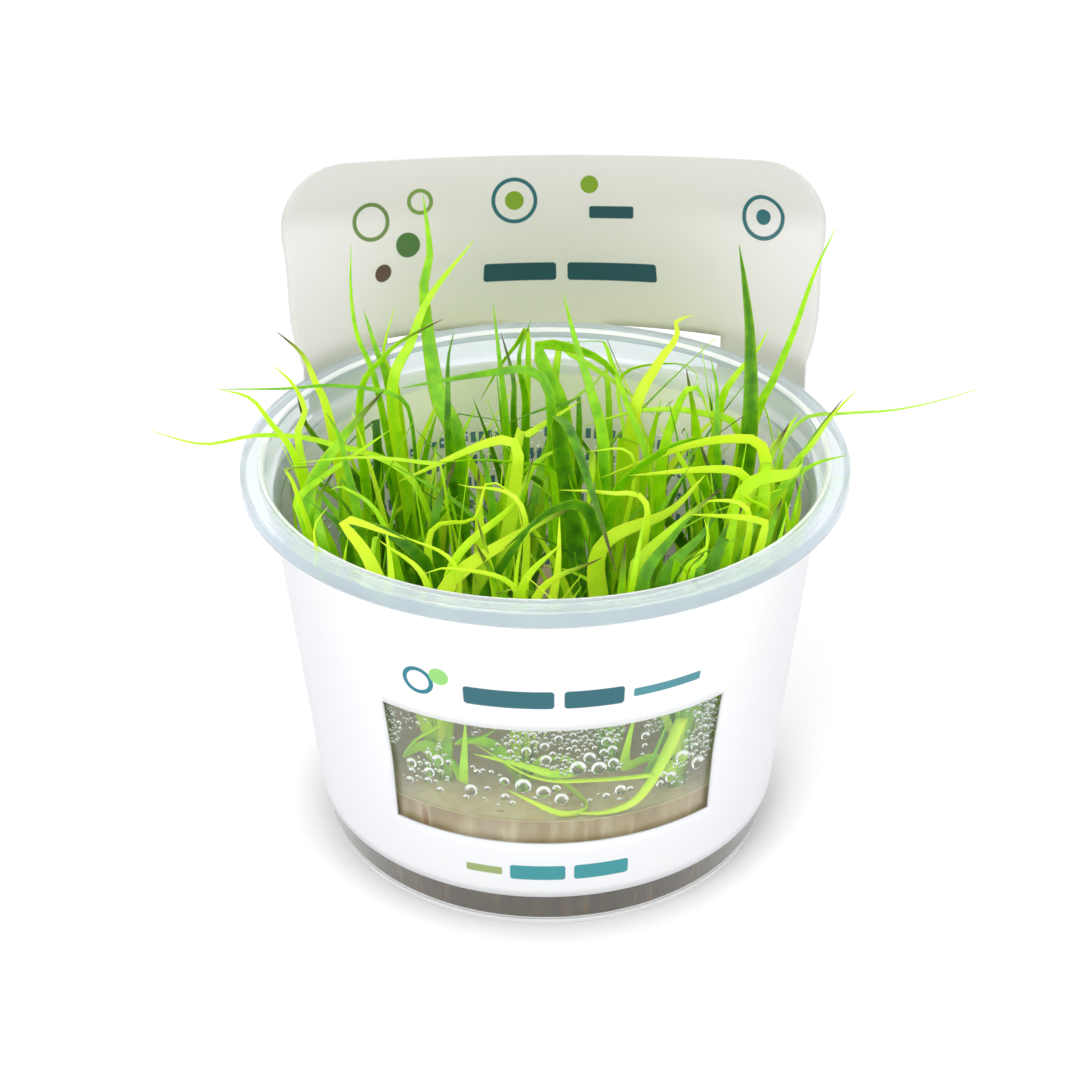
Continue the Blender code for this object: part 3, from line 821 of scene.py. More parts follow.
@dataclass
class Cup:
    """The clear tub: flat base, tapered wall, shoulder, collar and turned-down rim."""

    sides: int = 144
    rim_starts: float = 57.6 * MM
    foot_round: float = 0.8 * MM
    rim_radius: float = 47.5 * MM
    rim_underside: float = 1.4 * WALL
    rim_edge_underside: float = 1.3 * WALL
    skirt_z: float = 62.2 * MM
    skirt_wall: float = 0.8 * MM
    # Painted shade on the outer skirt: reach in from the rim's edge, and depth below the rim's top
    # where it starts
    skirt_shade_reach: Span = (0.96 * MM, 0.5 * MM)
    # Painted highlight on the mouth's inner lip: reach out from the inner wall, and depth below the
    # rim's top
    mouth_highlight_reach: Span = (0.8 * MM, 0.6 * MM)

    def profile(self) -> list[tuple[float, float]]:
        """Draw half of the cup's section, from the middle of its base round to its floor.

        Returns:
            Radius and height of each point.
        """
        foot = outer_radius(0.0)
        shoulder = outer_radius(SHOULDER_Z)
        collar = inner_radius(RIM_Z) + WALL
        inset = self.rim_radius - self.skirt_wall
        floor = FLOOR_Z + FLOOR_FILLET
        return rounded(
            [
                (0.0, 0.0, 0.0),
                (foot, 0.0, self.foot_round),
                (outer_radius(self.rim_starts), self.rim_starts, 0.0),
                (shoulder, SHOULDER_Z, 0.5 * MM),
                (shoulder + COLLAR_STEP, SHOULDER_Z + WALL, 0.5 * MM),
                (collar, RIM_Z - self.rim_underside, 0.6 * MM),
                (inset, RIM_Z - self.rim_edge_underside, 0.4 * MM),
                (inset, self.skirt_z, 0.2 * MM),
                (self.rim_radius, self.skirt_z, 0.3 * MM),
                (self.rim_radius, RIM_Z, 1.0 * MM),
                (collar - WALL, RIM_Z, 0.8 * MM),
                (inner_radius(SHOULDER_Z + WALL), SHOULDER_Z + WALL, 0.5 * MM),
                (inner_radius(SHOULDER_Z - WALL), SHOULDER_Z - WALL, 0.5 * MM),
                (inner_radius(self.rim_starts), self.rim_starts, 0.0),
                (inner_radius(floor), FLOOR_Z, FLOOR_FILLET),
                (0.0, FLOOR_Z, 0.0),
            ]
        )

    def zone(self, spot: Vector) -> Zone:
        """Tell which part of the moulding a place is in.

        Args:
            spot: Place on the cup.

        Returns:
            The part.
        """
        if spot.z < self.rim_starts:
            return Zone.WALL
        out = spot.xy.length
        inward, down = self.skirt_shade_reach
        if out > self.rim_radius - inward and spot.z < RIM_Z - down:
            return Zone.SKIRT
        outward, down = self.mouth_highlight_reach
        if out < inner_radius(RIM_Z) + outward and spot.z > RIM_Z - down:
            return Zone.MOUTH
        return Zone.COLLAR

    def build(self, finishes: dict[Zone, Finish]) -> list[bpy.types.Object]:
        """Turn the cup and put it in the place of its solid.

        Args:
            finishes: Plastic of each part of the moulding, the skirt's darker as painted shade and
                the mouth's white as a painted highlight.

        Returns:
            The cup.
        """
        bm = turned(self.profile(), self.sides)
        for face in bm.faces:
            face.material_index = self.zone(face.calc_center_median()).value
        cup = put_object("clear_cup", bm, [finishes[zone].make() for zone in Zone])
        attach(cup, ROOT_BODY)
        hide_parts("cup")
        return [cup]


@dataclass
class Gel:
    """The set gel in the cup's lower third; its skin meets the plastic, as poured gel does."""

    sides: int = 144
    lap: float = 0.05 * MM
    meniscus: float = 0.5 * MM
    meniscus_width: float = 1.2 * MM
    skin_slope: float = 0.5

    def build(self, body: Finish, skin: Finish) -> list[bpy.types.Object]:
        """Turn the gel and put it in the place of its solid.

        Args:
            body: The gel in the cup.
            skin: Its open top, in lighter colours that are painted light where it faces up.

        Returns:
            The gel.
        """
        bottom = FLOOR_Z - self.lap
        low = inner_radius(bottom) + self.lap
        high = inner_radius(GEL_TOP_Z + self.meniscus) + self.lap
        profile = rounded(
            [
                (0.0, bottom, 0.0),
                (low, bottom, FLOOR_FILLET),
                (high, GEL_TOP_Z + self.meniscus, 0.0),
                (high - self.meniscus_width, GEL_TOP_Z, self.meniscus_width),
                (0.0, GEL_TOP_Z, 0.0),
            ]
        )
        bm = turned(profile, self.sides)
        for face in bm.faces:
            face.material_index = int(face.normal.z > self.skin_slope)
        gel = put_object("agar_gel", bm, [body.make(), skin.make()])
        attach(gel, ROOT_BODY)
        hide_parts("gel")
        return [gel]


@dataclass
class Sleeve:
    """The card sleeve: a die-cut sheet wrapped round the cup, with a header behind it."""

    card: float = 0.4 * MM
    bottom_z: float = 6.7 * MM
    top_z: float = 59.2 * MM
    window_low_z: float = 17.7 * MM
    window_high_z: float = 40.4 * MM
    window_half_angle: float = 0.664
    window_flare: float = 0.018
    window_turn: float = 0.028
    turn_fade: Span = (2.0, 2.4)
    slot_half_angle: float = 0.615
    leg_half_angle: float = 1.0
    slot_top_z: float = 63.4 * MM
    slot_arch: float = 1.8 * MM
    tab_half_angle: float = 0.171
    tab_drop: float = 2.0 * MM
    header_radius: float = 49.3 * MM
    header_shift: float = 1.8 * MM
    header_flat_z: float = 84.5 * MM
    header_flat_curve: float = 190.0 * MM
    header_narrowing: float = 0.06
    header_narrow_z: float = 80.0 * MM
    header_top_z: float = 94.7 * MM
    header_corner: float = 11.4 * MM
    corner_steps: int = 10
    bulge_start_z: float = 46.0 * MM
    bulge_fade: float = 0.55
    slot_bulge: float = 0.25
    slot_bulge_angle: float = 0.3
    column_angle: float = 0.03
    row_height: float = 1.6 * MM
    wrap_scale: float = 41.0

    @property
    def bulge_end_z(self) -> float:
        """Height where the wrap's swelling meets the legs."""
        return self.slot_top_z - self.tab_drop

    def bulge(self, angle: float, height: float) -> float:
        """Tell how far the wrap swells, from the cup's cone out to the legs.

        Args:
            angle: Angle from the middle of the back.
            height: Height of the place.

        Returns:
            0 on the cone, 1 as far out as the legs.
        """
        off = abs(angle)
        side = 1.0 - smoothstep(self.leg_half_angle, self.leg_half_angle + self.bulge_fade, off)
        if off < self.slot_half_angle and height < self.top_z + GAP:
            rise = smoothstep(self.slot_bulge_angle, self.slot_half_angle, off)
            side = self.slot_bulge + (1.0 - self.slot_bulge) * rise
        return side * smoothstep(self.bulge_start_z, self.bulge_end_z, height)

    def wrap_place(self, angle: float, height: float) -> Vector:
        """Place a point of the wrap's inner face.

        Args:
            angle: Angle from the middle of the back.
            height: Height of the point.

        Returns:
            Its place.
        """
        share = self.bulge(angle, height)
        cone = outer_radius(height) + GAP
        radius = cone + (self.header_radius - cone) * share
        front = math.pi - self.window_half_angle
        raised = (height - self.window_low_z) / (self.window_high_z - self.window_low_z) - 0.5
        near = max(0.0, 1.0 - abs(abs(angle) - front) / self.window_half_angle)
        around = angle - math.copysign(self.window_flare * raised * near, angle)
        around -= self.window_turn * smoothstep(*self.turn_fade, abs(angle))
        shift = self.header_shift * share
        return Vector((radius * math.sin(around) + shift, radius * math.cos(around), height))

    def header_place(self, angle: float, height: float) -> Vector:
        """Place a point of the legs or the header: round at the rim, flat above.

        Args:
            angle: Angle from the middle of the back, as at the rim.
            height: Height of the point.

        Returns:
            Its place.
        """
        rise = min(1.0, max(0.0, (height - RIM_Z) / (self.header_flat_z - RIM_Z)))
        curve = (1.0 - rise) / self.header_radius + rise / self.header_flat_curve
        narrow = 1.0 - self.header_narrowing * smoothstep(RIM_Z, self.header_narrow_z, height)
        along = angle * self.header_radius * narrow
        corner_z = self.header_top_z - self.header_corner
        if height > corner_z:
            lift = (height - corner_z) / self.header_corner
            slot = self.slot_half_angle * self.header_radius * (1.0 - self.header_narrowing)
            leg = self.leg_half_angle * self.header_radius * (1.0 - self.header_narrowing)
            if abs(along) > slot:
                inset = 1.0 - math.sqrt(max(0.0, 1.0 - lift * lift))
                edge = leg - self.header_corner * inset
                moved = slot + (abs(along) - slot) * (edge - slot) / (leg - slot)
                along = math.copysign(moved, along)
        x = math.sin(along * curve) / curve + self.header_shift
        y = self.header_radius - (1.0 - math.cos(along * curve)) / curve
        arch = self.slot_arch * min(1.0, abs(angle) / self.slot_half_angle) ** 2
        if height < self.slot_top_z:
            arch *= max(0.0, 1.0 - (self.slot_top_z - height) / self.tab_drop)
        else:
            arch *= max(0.0, 1.0 - (height - self.slot_top_z) / (corner_z - self.slot_top_z))
        return Vector((x, y, height + arch))

    def place(self, angle: float, height: float) -> Vector:
        """Return the place of a point of the card's inner face."""
        if height < self.bulge_end_z - MERGE:
            return self.wrap_place(angle, height)
        return self.header_place(angle, height)

    def lines(self, stops: list[float], pitch: float) -> list[float]:
        """Fill in evenly between stops, no further apart than the pitch.

        Args:
            stops: Values that must be there, in order.
            pitch: Greatest step between two values.

        Returns:
            All the values, in order.
        """
        made = [stops[0]]
        for low, high in zip(stops, stops[1:]):
            count = max(1, math.ceil((high - low) / pitch))
            made += [low + (high - low) * i / count for i in range(1, count + 1)]
        return made

    def columns(self) -> list[float]:
        """Lay out the sheet's columns.

        Returns:
            Angles from the middle of the back, both ways round to the front.
        """
        right = self.lines(
            [
                0.0,
                self.tab_half_angle,
                self.slot_half_angle,
                self.leg_half_angle,
                math.pi - self.window_half_angle,
                math.pi,
            ],
            self.column_angle,
        )
        return [-angle for angle in reversed(right[1:])] + right

    def rows(self) -> list[float]:
        """Lay out the sheet's rows.

        Returns:
            Heights from the bottom edge to the header's top.
        """
        corner_z = self.header_top_z - self.header_corner
        turns = [
            math.pi / 2 * i / self.corner_steps for i in range(1, self.corner_steps + 1)
        ]
        wrap = self.lines(
            [
                self.bottom_z,
                self.window_low_z,
                self.window_high_z,
                self.top_z,
                self.bulge_end_z,
                self.slot_top_z,
                corner_z,
            ],
            self.row_height,
        )
        return wrap + [corner_z + self.header_corner * math.sin(turn) for turn in turns]

    def keeps(self, angle: float, height: float) -> bool:
        """Tell whether the sheet has card at a place.

        Args:
            angle: Angle from the middle of the back.
            height: Height of the place.

        Returns:
            Whether it has.
        """
        off = abs(angle)
        if height < self.top_z:
            inside = self.window_low_z < height < self.window_high_z
            return not inside or off < math.pi - self.window_half_angle
        if height > self.slot_top_z or off > self.slot_half_angle:
            return off < self.leg_half_angle
        return self.bulge_end_z < height and off < self.tab_half_angle

    def sheet(self) -> bmesh.types.BMesh:
        """Lay out the sheet as a grid, cut it, note each place on it, and wrap it.

        Returns:
            The card's inner face.
        """
        columns = self.columns()
        rows = self.rows()
        bm = bmesh.new()
        bmesh.ops.create_grid(
            bm, x_segments=len(columns) - 1, y_segments=len(rows) - 1, size=1.0
        )
        uv = bm.loops.layers.uv.new("card")
        front = bm.loops.layers.uv.new("front")
        flat = {}
        for vert in bm.verts:
            i = round((vert.co.x + 1.0) / 2.0 * (len(columns) - 1))
            j = round((vert.co.y + 1.0) / 2.0 * (len(rows) - 1))
            flat[vert] = (columns[i], rows[j])
        waste = []
        for face in bm.faces:
            angle = sum(flat[vert][0] for vert in face.verts) / len(face.verts)
            height = sum(flat[vert][1] for vert in face.verts) / len(face.verts)
            if not self.keeps(angle, height):
                waste.append(face)
            scale = self.header_radius / MM if height > self.top_z else self.wrap_scale
            for loop in face.loops:
                around, up = flat[loop.vert]
                loop[uv].uv = (around * scale, up / MM)
                loop[front].uv = ((math.copysign(math.pi, angle) - around) * scale, up / MM)
        for vert in bm.verts:
            vert.co = self.place(*flat[vert])
        bmesh.ops.delete(bm, geom=waste, context="FACES")
        bmesh.ops.remove_doubles(bm, verts=bm.verts, dist=MERGE)
        bmesh.ops.recalc_face_normals(bm, faces=bm.faces)
        return bm

    def build(self, outside: Finish, inside: Finish) -> list[bpy.types.Object]:
        """Make the sleeve from its sheet and put it in the place of its solid.

        Args:
            outside: Card as it is printed on the outside.
            inside: Card as it is printed on the inside and on the header's front.

        Returns:
            The sleeve.
        """
        bm = self.sheet()
        sample = next(iter(bm.faces))
        outward = sample.calc_center_median().xy.dot(sample.normal.xy) > 0
        if not outward:
            bmesh.ops.reverse_faces(bm, faces=bm.faces)
        sleeve = put_object("card_sleeve", bm, [outside.make(), inside.make()])
        thick = sleeve.modifiers.new("card", "SOLIDIFY")
        thick.thickness = self.card
        thick.offset = 1.0
        thick.use_even_offset = True
        thick.use_rim = True
        thick.material_offset = 1
        thick.material_offset_rim = 0
        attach(sleeve, ROOT_BODY)
        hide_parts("sleeve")
        return [sleeve]


# Plantlets


class Habit(Enum):
    """Ways that a loose blade grows."""

    STANDING = "standing"
    ARCHING = "arching"
    FOLDED = "folded"


# Least and most droop of each habit that has no fold
DROOPS = {Habit.STANDING: (0.0, 0.2), Habit.ARCHING: (0.35, 0.75)}


class Draw(Enum):
    """Kinds of random draw, each with numbers of its own, so that no kind moves another."""

    LOOK = 7
    LOOSE = 13
    ROOT = 17
    PLACED = 31


@dataclass(frozen=True)
class Blade:
    """One flat blade: its path from the crown to the tip, its width and how its face turns."""

    path: tuple[Vector, ...]
    width: float
    face_turn: float
    tone: float
    dry: float


@dataclass
class BladeShape:
    """Section and outline that all the blades share, swept along a path."""

    section_sides: int = 8
    thick: float = 0.34 * MM
    gutter: float = 0.16
    flatness: float = 0.35
    root_width: float = 0.7
    full_width_share: float = 0.3
    taper_share: float = 0.45
    taper_power: float = 0.7
    tip_share: float = 0.04
    margin_thinning: float = 0.6
    tip_thinning: float = 0.6

    def width_at(self, share: float) -> float:
        """Return the share of its full width that a blade has at a share of its length."""
        rise = smoothstep(0.0, self.full_width_share, share)
        root = self.root_width + (1.0 - self.root_width) * rise
        return root * min(1.0, (1.0 - share) / self.taper_share) ** self.taper_power

    def sweep(self, blade: Blade) -> bmesh.types.BMesh:
        """Sweep a blade: extrude its section from station to station, and draw it to a point.

        Args:
            blade: The blade to make.

        Returns:
            Its closed mesh, with the places along and across it in its map.
        """
        bm = bmesh.new()
        section = bm.verts.layers.float_vector.new("section")
        share_at = bm.verts.layers.float.new("share")
        ring = bmesh.ops.create_circle(
            bm, cap_ends=True, segments=self.section_sides, radius=1.0
        )["verts"]
        for vert in ring:
            margin = math.copysign(abs(vert.co.x) ** self.flatness, vert.co.x)
            vert[section] = Vector((margin, vert.co.y, 0.0))
        cap = bm.faces[:][0]
        path = blade.path
        along = (path[1] - path[0]).normalized()
        turn = Quaternion((0.0, 0.0, 1.0), math.radians(blade.face_turn))
        facing = turn @ Vector((0.0, -1.0, 0.0))
        facing = (facing - along * facing.dot(along)).normalized()
        last = len(path) - 1
        for k, centre in enumerate(path):
            if k:
                grown = bmesh.ops.extrude_face_region(bm, geom=[cap])["geom"]
                if k > 1:
                    bmesh.ops.delete(bm, geom=[cap], context="FACES_ONLY")
                ring = [item for item in grown if isinstance(item, bmesh.types.BMVert)]
                cap = next(item for item in grown if isinstance(item, bmesh.types.BMFace))
            ahead = (path[min(last, k + 1)] - path[max(0, k - 1)]).normalized()
            facing = along.rotation_difference(ahead) @ facing
            along = ahead
            across = along.cross(facing)
            share = k / last
            half = 0.5 * blade.width * max(self.tip_share, self.width_at(share))
            thinned = 1.0 - self.tip_thinning * share
            for vert in ring:
                side, face, _ = vert[section]
                body = 1.0 - self.margin_thinning * abs(side)
                depth = 0.5 * self.thick * face * body * thinned
                dip = self.gutter * half * (1.0 - side * side)
                vert.co = centre + across * (side * half) + facing * (depth - dip)
                vert[share_at] = share
        bmesh.ops.recalc_face_normals(bm, faces=bm.faces)
        uv = bm.loops.layers.uv.new("blade")
        for face in bm.faces:
            for loop in face.loops:
                side = loop.vert[section][0] * 0.5 * blade.width
                loop[uv].uv = (side, loop.vert[share_at])
        return bm


@dataclass
class PathMaker:
    """Draws blades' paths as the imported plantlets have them."""

    samples: int = 120

    def point(self, points: list[Vector], share: float) -> Vector:
        """Find a point on a smooth curve.

        Args:
            points: Points that the curve passes through.
            share: Share of the way along it.

        Returns:
            The point.
        """
        spans = len(points) - 1
        i = min(int(share * spans), spans - 1)
        t = share * spans - i
        start = points[i]
        end = points[i + 1]
        before = points[i - 1] if i > 0 else 2 * start - end
        after = points[i + 2] if i + 2 <= spans else 2 * end - start
        bend = 2 * before - 5 * start + 4 * end - after
        swing = 3 * start - before - 3 * end + after
        return 0.5 * (2 * start + (end - before) * t + bend * t * t + swing * t * t * t)

    def even(self, points: list[Vector], count: int) -> list[Vector]:
        """Space points evenly along the smooth curve through the given points.

        Args:
            points: Points that the curve passes through.
            count: How many points to space along it.

        Returns:
            The evenly spaced points.
        """
        fine = [self.point(points, i / self.samples) for i in range(self.samples + 1)]
        lengths = [0.0]
        for a, b in zip(fine, fine[1:]):
            lengths.append(lengths[-1] + (b - a).length)
        path = []
        i = 0
        for k in range(count):
            want = lengths[-1] * k / (count - 1)
            while i < self.samples - 1 and lengths[i + 1] < want:
                i += 1
            part = (want - lengths[i]) / (lengths[i + 1] - lengths[i])
            path.append(fine[i].lerp(fine[i + 1], min(1.0, part)))
        return path


# Crown places on the gel, in mm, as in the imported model
CROWNS = (
    (-13, 3), (-20, 10), (-22, 20), (-28, 3), (-32, -6), (-28, -16),
    (-16, -25), (-5, 7), (-4, 19), (3, -4), (7, -13), (10, -23),
    (14, 7), (17, -3), (29, 3), (25, 14), (31, -7), (26, -17),
    (-4, -27), (-11, -11), (20, -27), (13, 24), (-21, -6),
)

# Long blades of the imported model: crown, width, turn of the face in degrees, and points in mm
LONG_BLADES = (
    (0, 3.0, 10, ((-14, 4, 65), (-17, 9, 71), (-19, 18, 84), (-18, 21, 89), (-19, 26, 97))),
    (1, 2.4, -20, ((-24, 8, 71), (-21, 12, 78), (-18, 16, 84), (-11, 22, 91))),
    (2, 1.4, 40, ((-27, 14, 70), (-30, 19, 76), (-31, 23, 82), (-31, 28, 88))),
    (2, 2.4, 0, ((-25, 16, 68), (-27, 18, 74), (-29, 22, 79))),
    (2, 1.2, 0, ((-24, 20, 66), (-26, 20, 72), (-24, 24, 79))),
    (3, 1.8, 30, ((-29, 6, 71), (-25, 9, 77), (-22, 11, 79), (-16, 14, 81))),
    (3, 2.2, 20, ((-34, 6, 68), (-36, 8, 73), (-38, 10, 77), (-42, 12, 80))),
    (4, 2.0, -15, ((-38, -3, 68), (-37, 0, 72), (-39, 2, 76), (-42, 4, 78))),
    (1, 1.0, 60, ((-21, 5, 68), (-24, 4, 73), (-33, 5, 74), (-41, 6, 73), (-52, 8, 72))),
    (4, 1.6, 30, ((-38, -6, 66), (-42, -5, 73), (-45, -3, 76), (-50, 0, 76))),
    (19, 1.6, 60, ((-21, 0, 60), (-34, 1, 66), (-44, 0, 68), (-53, -1, 67), (-61, -2, 70))),
    (7, 1.6, 0, ((-6, 5, 66), (-7, 8, 77), (-8, 14, 84))),
    (8, 1.6, 0, ((-5, 17, 62), (-5, 19, 68), (-7, 24, 74))),
    (8, 1.8, 10, ((-3, 13, 66), (-4, 12, 75), (-2, 18, 79))),
    (0, 1.8, -10, ((-15, 1, 66), (-15, 3, 73), (-15, 8, 77), (-14, 10, 81))),
    (10, 2.4, 0, ((9, -7, 68), (7, -3, 77), (5, 2, 82), (3, 8, 88))),
    (9, 3.2, 20, ((3, 3, 68), (0, 5, 77), (-1, 6, 80), (3, 6, 80), (9, 7, 77), (13, 8, 71))),
    (
        9, 2.2, 35,
        ((1, -5, 74), (0, -4, 79), (-3, -4, 81), (-8, -3, 80), (-14, -1, 78), (-22, 0, 76)),
    ),
    (12, 2.8, -10, ((14, 5, 68), (18, 10, 75), (21, 13, 78), (21, 15, 80), (24, 17, 80))),
    (13, 1.6, 40, ((16, -1, 62), (13, 3, 70), (10, 10, 76), (9, 14, 77), (6, 16, 76), (1, 20, 74))),
    (14, 3.0, 0, ((32, 2, 66), (32, 6, 80), (31, 8, 89), (30, 10, 95))),
    (15, 1.8, 15, ((34, 9, 67), (36, 9, 72), (39, 10, 80), (42, 11, 90), (45, 12, 97))),
    (15, 2.0, -10, ((28, 11, 66), (30, 12, 71), (34, 16, 74), (36, 18, 77))),
    (14, 1.8, 10, ((27, 0, 63), (27, 3, 69), (27, 6, 73), (26, 8, 77))),
    (16, 1.8, 60, ((36, -3, 64), (40, 0, 70), (46, 0, 71), (54, 1, 71), (61, 2, 72), (67, 2, 74))),
    (16, 2.4, 30, ((37, -7, 63), (41, -6, 69), (44, -3, 72), (48, 0, 75))),
    (
        12, 1.2, 50,
        ((13, 12, 60), (12, 19, 66), (14, 20, 69), (20, 18, 71), (24, 16, 71), (25, 14, 67)),
    ),
    (13, 2.2, 0, ((18, -4, 64), (20, -2, 72), (22, -1, 76), (24, 0, 75), (26, 1, 69))),
    (10, 2.6, 30, ((10, -13, 62), (14, -12, 68), (21, -9, 71), (29, -6, 70))),
    (16, 3.0, -30, ((33, -7, 60), (34, -6, 66), (37, -4, 70), (39, -2, 72))),
    (17, 2.4, 30, ((32, -13, 58), (36, -11, 64), (41, -9, 67), (46, -8, 68))),
    (5, 3.0, 30, ((-33, -15, 55), (-36, -13, 64), (-31, -5, 70), (-25, 3, 74))),
    (5, 2.2, 20, ((-28, -15, 58), (-30, -12, 69), (-31, -10, 73), (-33, -8, 76))),
    (6, 2.6, 30, ((-17, -27, 58), (-20, -28, 64), (-25, -27, 67), (-29, -27, 67), (-31, -26, 63))),
    (10, 3.0, 0, ((4, -12, 60), (2, -14, 77), (4, -18, 77), (7, -26, 71), (10, -35, 64))),
    (11, 3.0, 20, ((8, -23, 60), (6, -24, 68), (1, -26, 69), (-6, -30, 65))),
)

# Blades that cross at the rim's height: crown, width, turn, tone, and points in mm; each tone is
# the blade's own green and, in part, painted light and shade: lighter for a blade in the light,
# darker for one in shade
CROSSING_BLADES = (
    (5, 1.8, 20, 0.55, ((-37.5, -17, 62.5), (-37.5, -14.5, 64.5), (-35, -12, 66), (-23.5, -4, 71))),
    (6, 2.8, 0, 0.95, ((-26.5, -32, 63.5), (-29, -31, 70.5), (-20.5, -29, 66))),
    (6, 1.9, 10, 0.85, ((-17.5, -33, 61.5), (-24, -31, 67))),
    (6, 1.2, 10, 0.5, ((-24, -24, 66), (-29.5, -20, 69.5), (-32.5, -16, 67))),
    (5, 1.4, 40, 0.8, ((-37.5, -17, 68.5), (-39, -16, 70.5), (-34.5, -14, 70))),
    (5, 1.1, 20, 0.8, ((-33.5, -30, 67), (-31.5, -28, 71))),
    (5, 2.4, 10, 0.05, ((-30, -20, 61.5), (-35.5, -18, 66.5))),
    (5, 2.4, 0, 0.35, ((-33.5, -18, 58.5), (-34.5, -13, 63), (-32, -8, 66.5))),
    (19, 2.2, 0, 0.9, ((-4.5, -14, 66), (-6, -12.5, 73.5), (-22.5, -8, 64))),
    (6, 3, 10, 1, ((-14.5, -33, 60), (-3.5, -26.5, 65.5), (5, -20, 66.5))),
    (19, 2.6, 0, 0.9, ((-10, -16, 53.5), (-10, -14.5, 65.5), (-10, -14, 69.5))),
    (6, 1.4, 20, 0.95, ((-17, -26, 65), (-10.5, -25, 67), (-8.5, -23, 72), (-4.5, -22, 69.5))),
    (18, 1.4, 10, 0.95, ((-3.5, -24, 68.5), (-13, -18, 69))),
    (6, 1.8, 20, 0.75, ((-13.5, -32, 63.5), (-4.5, -22, 68), (-1.5, -12, 71))),
    (19, 2.4, 20, 0.85, ((-4, -10, 72), (-2.5, -6, 71), (5.5, 2, 72.5))),
    (19, 2, 10, 0.55, ((-2.5, -12, 67), (3, -6, 69))),
    (18, 1.3, 20, 0.85, ((-4.5, -34, 60.5), (-13.5, -34, 64), (-18, -34, 63))),
    (6, 1.4, 10, 0.85, ((-13, -33, 63.5), (-21, -31, 68))),
    (18, 2.8, 10, 0.75, ((-3.5, -34, 60.5), (2, -30, 65.5))),
    (18, 2.4, 10, 0.9, ((-1, -35, 60.5), (8, -33, 65))),
    (18, 2, 0, 1, ((1.5, -31, 60.5), (2, -28, 69))),
    (18, 1, 0, 0.85, ((-4.5, -29, 58), (-3.5, -27, 65.5), (-4, -26, 69.5))),
    (19, 2.6, 0, 0.1, ((-17, -16, 59.5), (-13.5, -10, 69))),
    (19, 2.2, 0, 0.2, ((-8, -14, 60.5), (-9, -11.5, 68), (-10.5, -10, 73))),
    (
        16, 2.2, 0, 1,
        ((34, -10, 61.5), (33, -10, 70), (30.5, -10, 72), (22, -10, 71), (8.5, -10, 65.5)),
    ),
    (17, 2.2, 0, 1, ((30, -15, 63), (28.5, -14.5, 69), (12.5, -13, 67.5))),
    (11, 3, 10, 0.9, ((8, -24, 61), (18.5, -18, 64), (24, -14, 68))),
    (11, 2.6, 10, 0.7, ((13, -30, 59), (14.5, -26.5, 61.5), (26.5, -16, 67))),
    (14, 1.5, 30, 0.6, ((30.5, 4, 65.5), (24.5, 4.5, 69), (15.5, 5.5, 69), (6, 6, 66))),
    (20, 3, 0, 0.15, ((14, -32, 59.5), (19, -25.5, 64.5), (22, -22, 66))),
    (20, 2.8, 0, 0.15, ((17, -30, 59), (23, -23.5, 63), (26, -20, 66))),
    (20, 1.6, 0, 0.7, ((20, -31, 60.5), (23.5, -29.5, 65), (23, -28, 68.5))),
    (20, 3, 0, 0.2, ((22, -28, 59), (25, -23, 59.5), (28.5, -18, 62.5))),
    (20, 3, 0, 0.1, ((25, -26, 60.5), (30, -16, 64.5))),
    (17, 2.4, 0, 0.25, ((29.5, -22, 59.5), (33.5, -12, 62.5))),
    (20, 1.6, 0, 0.5, ((21, -33, 62), (23, -31.5, 64), (23.5, -29, 69.5))),
    (11, 1.8, 0, 0.6, ((12.5, -32, 59.5), (14.5, -26, 68.5))),
    (11, 2.4, 0, 0.45, ((11, -32, 59.5), (11.5, -30, 66))),
    (10, 1.1, 20, 0.8, ((13.5, -10, 68.5), (5.5, -8, 69))),
    (11, 1.5, 20, 0.9, ((15, -22, 67), (9, -21, 69), (2, -20, 69))),
    (17, 2.2, 20, 0.85, ((33, -25, 63), (31, -25, 66.5), (21, -24, 67))),
    (17, 1.8, 20, 0.85, ((30, -24, 66.5), (25, -22.5, 68.5), (23, -22, 67))),
    (17, 2.2, 0, 0.4, ((33.5, -18, 59.5), (36.5, -8, 60.5))),
    (16, 1.8, 0, 0.8, ((39, -10, 58.5), (38.5, -8, 64.5))),
    (16, 3, 0, 0.7, ((33, -14, 63.5), (33.5, -10.5, 67.5), (37.5, -4, 71.5))),
    (17, 3.8, 20, 0.7, ((29.5, -17, 66.5), (38, -11.5, 67), (47, -5, 66))),
    (16, 1.8, 20, 0.35, ((38.5, -6, 63.5), (41.5, -3, 68.5), (46, 0, 73.5))),
)

# Blades that press on the wall in the window: crown, width, turn, tone, and points in mm; each tone
# is the blade's own green and, in part, painted light and shade: lighter for a blade in the light,
# darker for one in shade
WINDOW_BLADES = (
    (20, 1.7, 0, 0.95, ((17, -33, 27), (7, -36, 28), (-2, -38, 30), (-11, -36, 35))),
    (18, 1.6, 0, 0.7, ((5, -30, 26), (1, -37, 30), (-5, -37, 32), (-11, -36, 33))),
    (20, 1.9, 0, 0.9, ((20, -33, 37), (18, -33, 31), (14, -35, 24), (9, -36, 22), (3, -36, 21.8))),
    (18, 1.6, 0, 0.9, ((6, -34, 21.7), (2, -37, 22.5), (-6, -37, 27))),
    (6, 1.6, 0, 0.6, ((-13, -31, 24), (-12.5, -35, 30), (-12, -37, 40))),
    (6, 3.0, 0, 0.6, ((-21, -28, 28), (-19, -33, 34), (-13, -36, 40))),
    (20, 2.2, 0, 0.7, ((12, -31, 27), (12, -36, 35), (13.5, -36, 42))),
    (20, 2.0, 0, 0.3, ((15, -31, 25), (16, -34, 31), (18.5, -34, 39))),
    (18, 2.2, 0, 0.45, ((-13, -34, 34), (-9, -37, 37), (-4, -39, 43))),
)


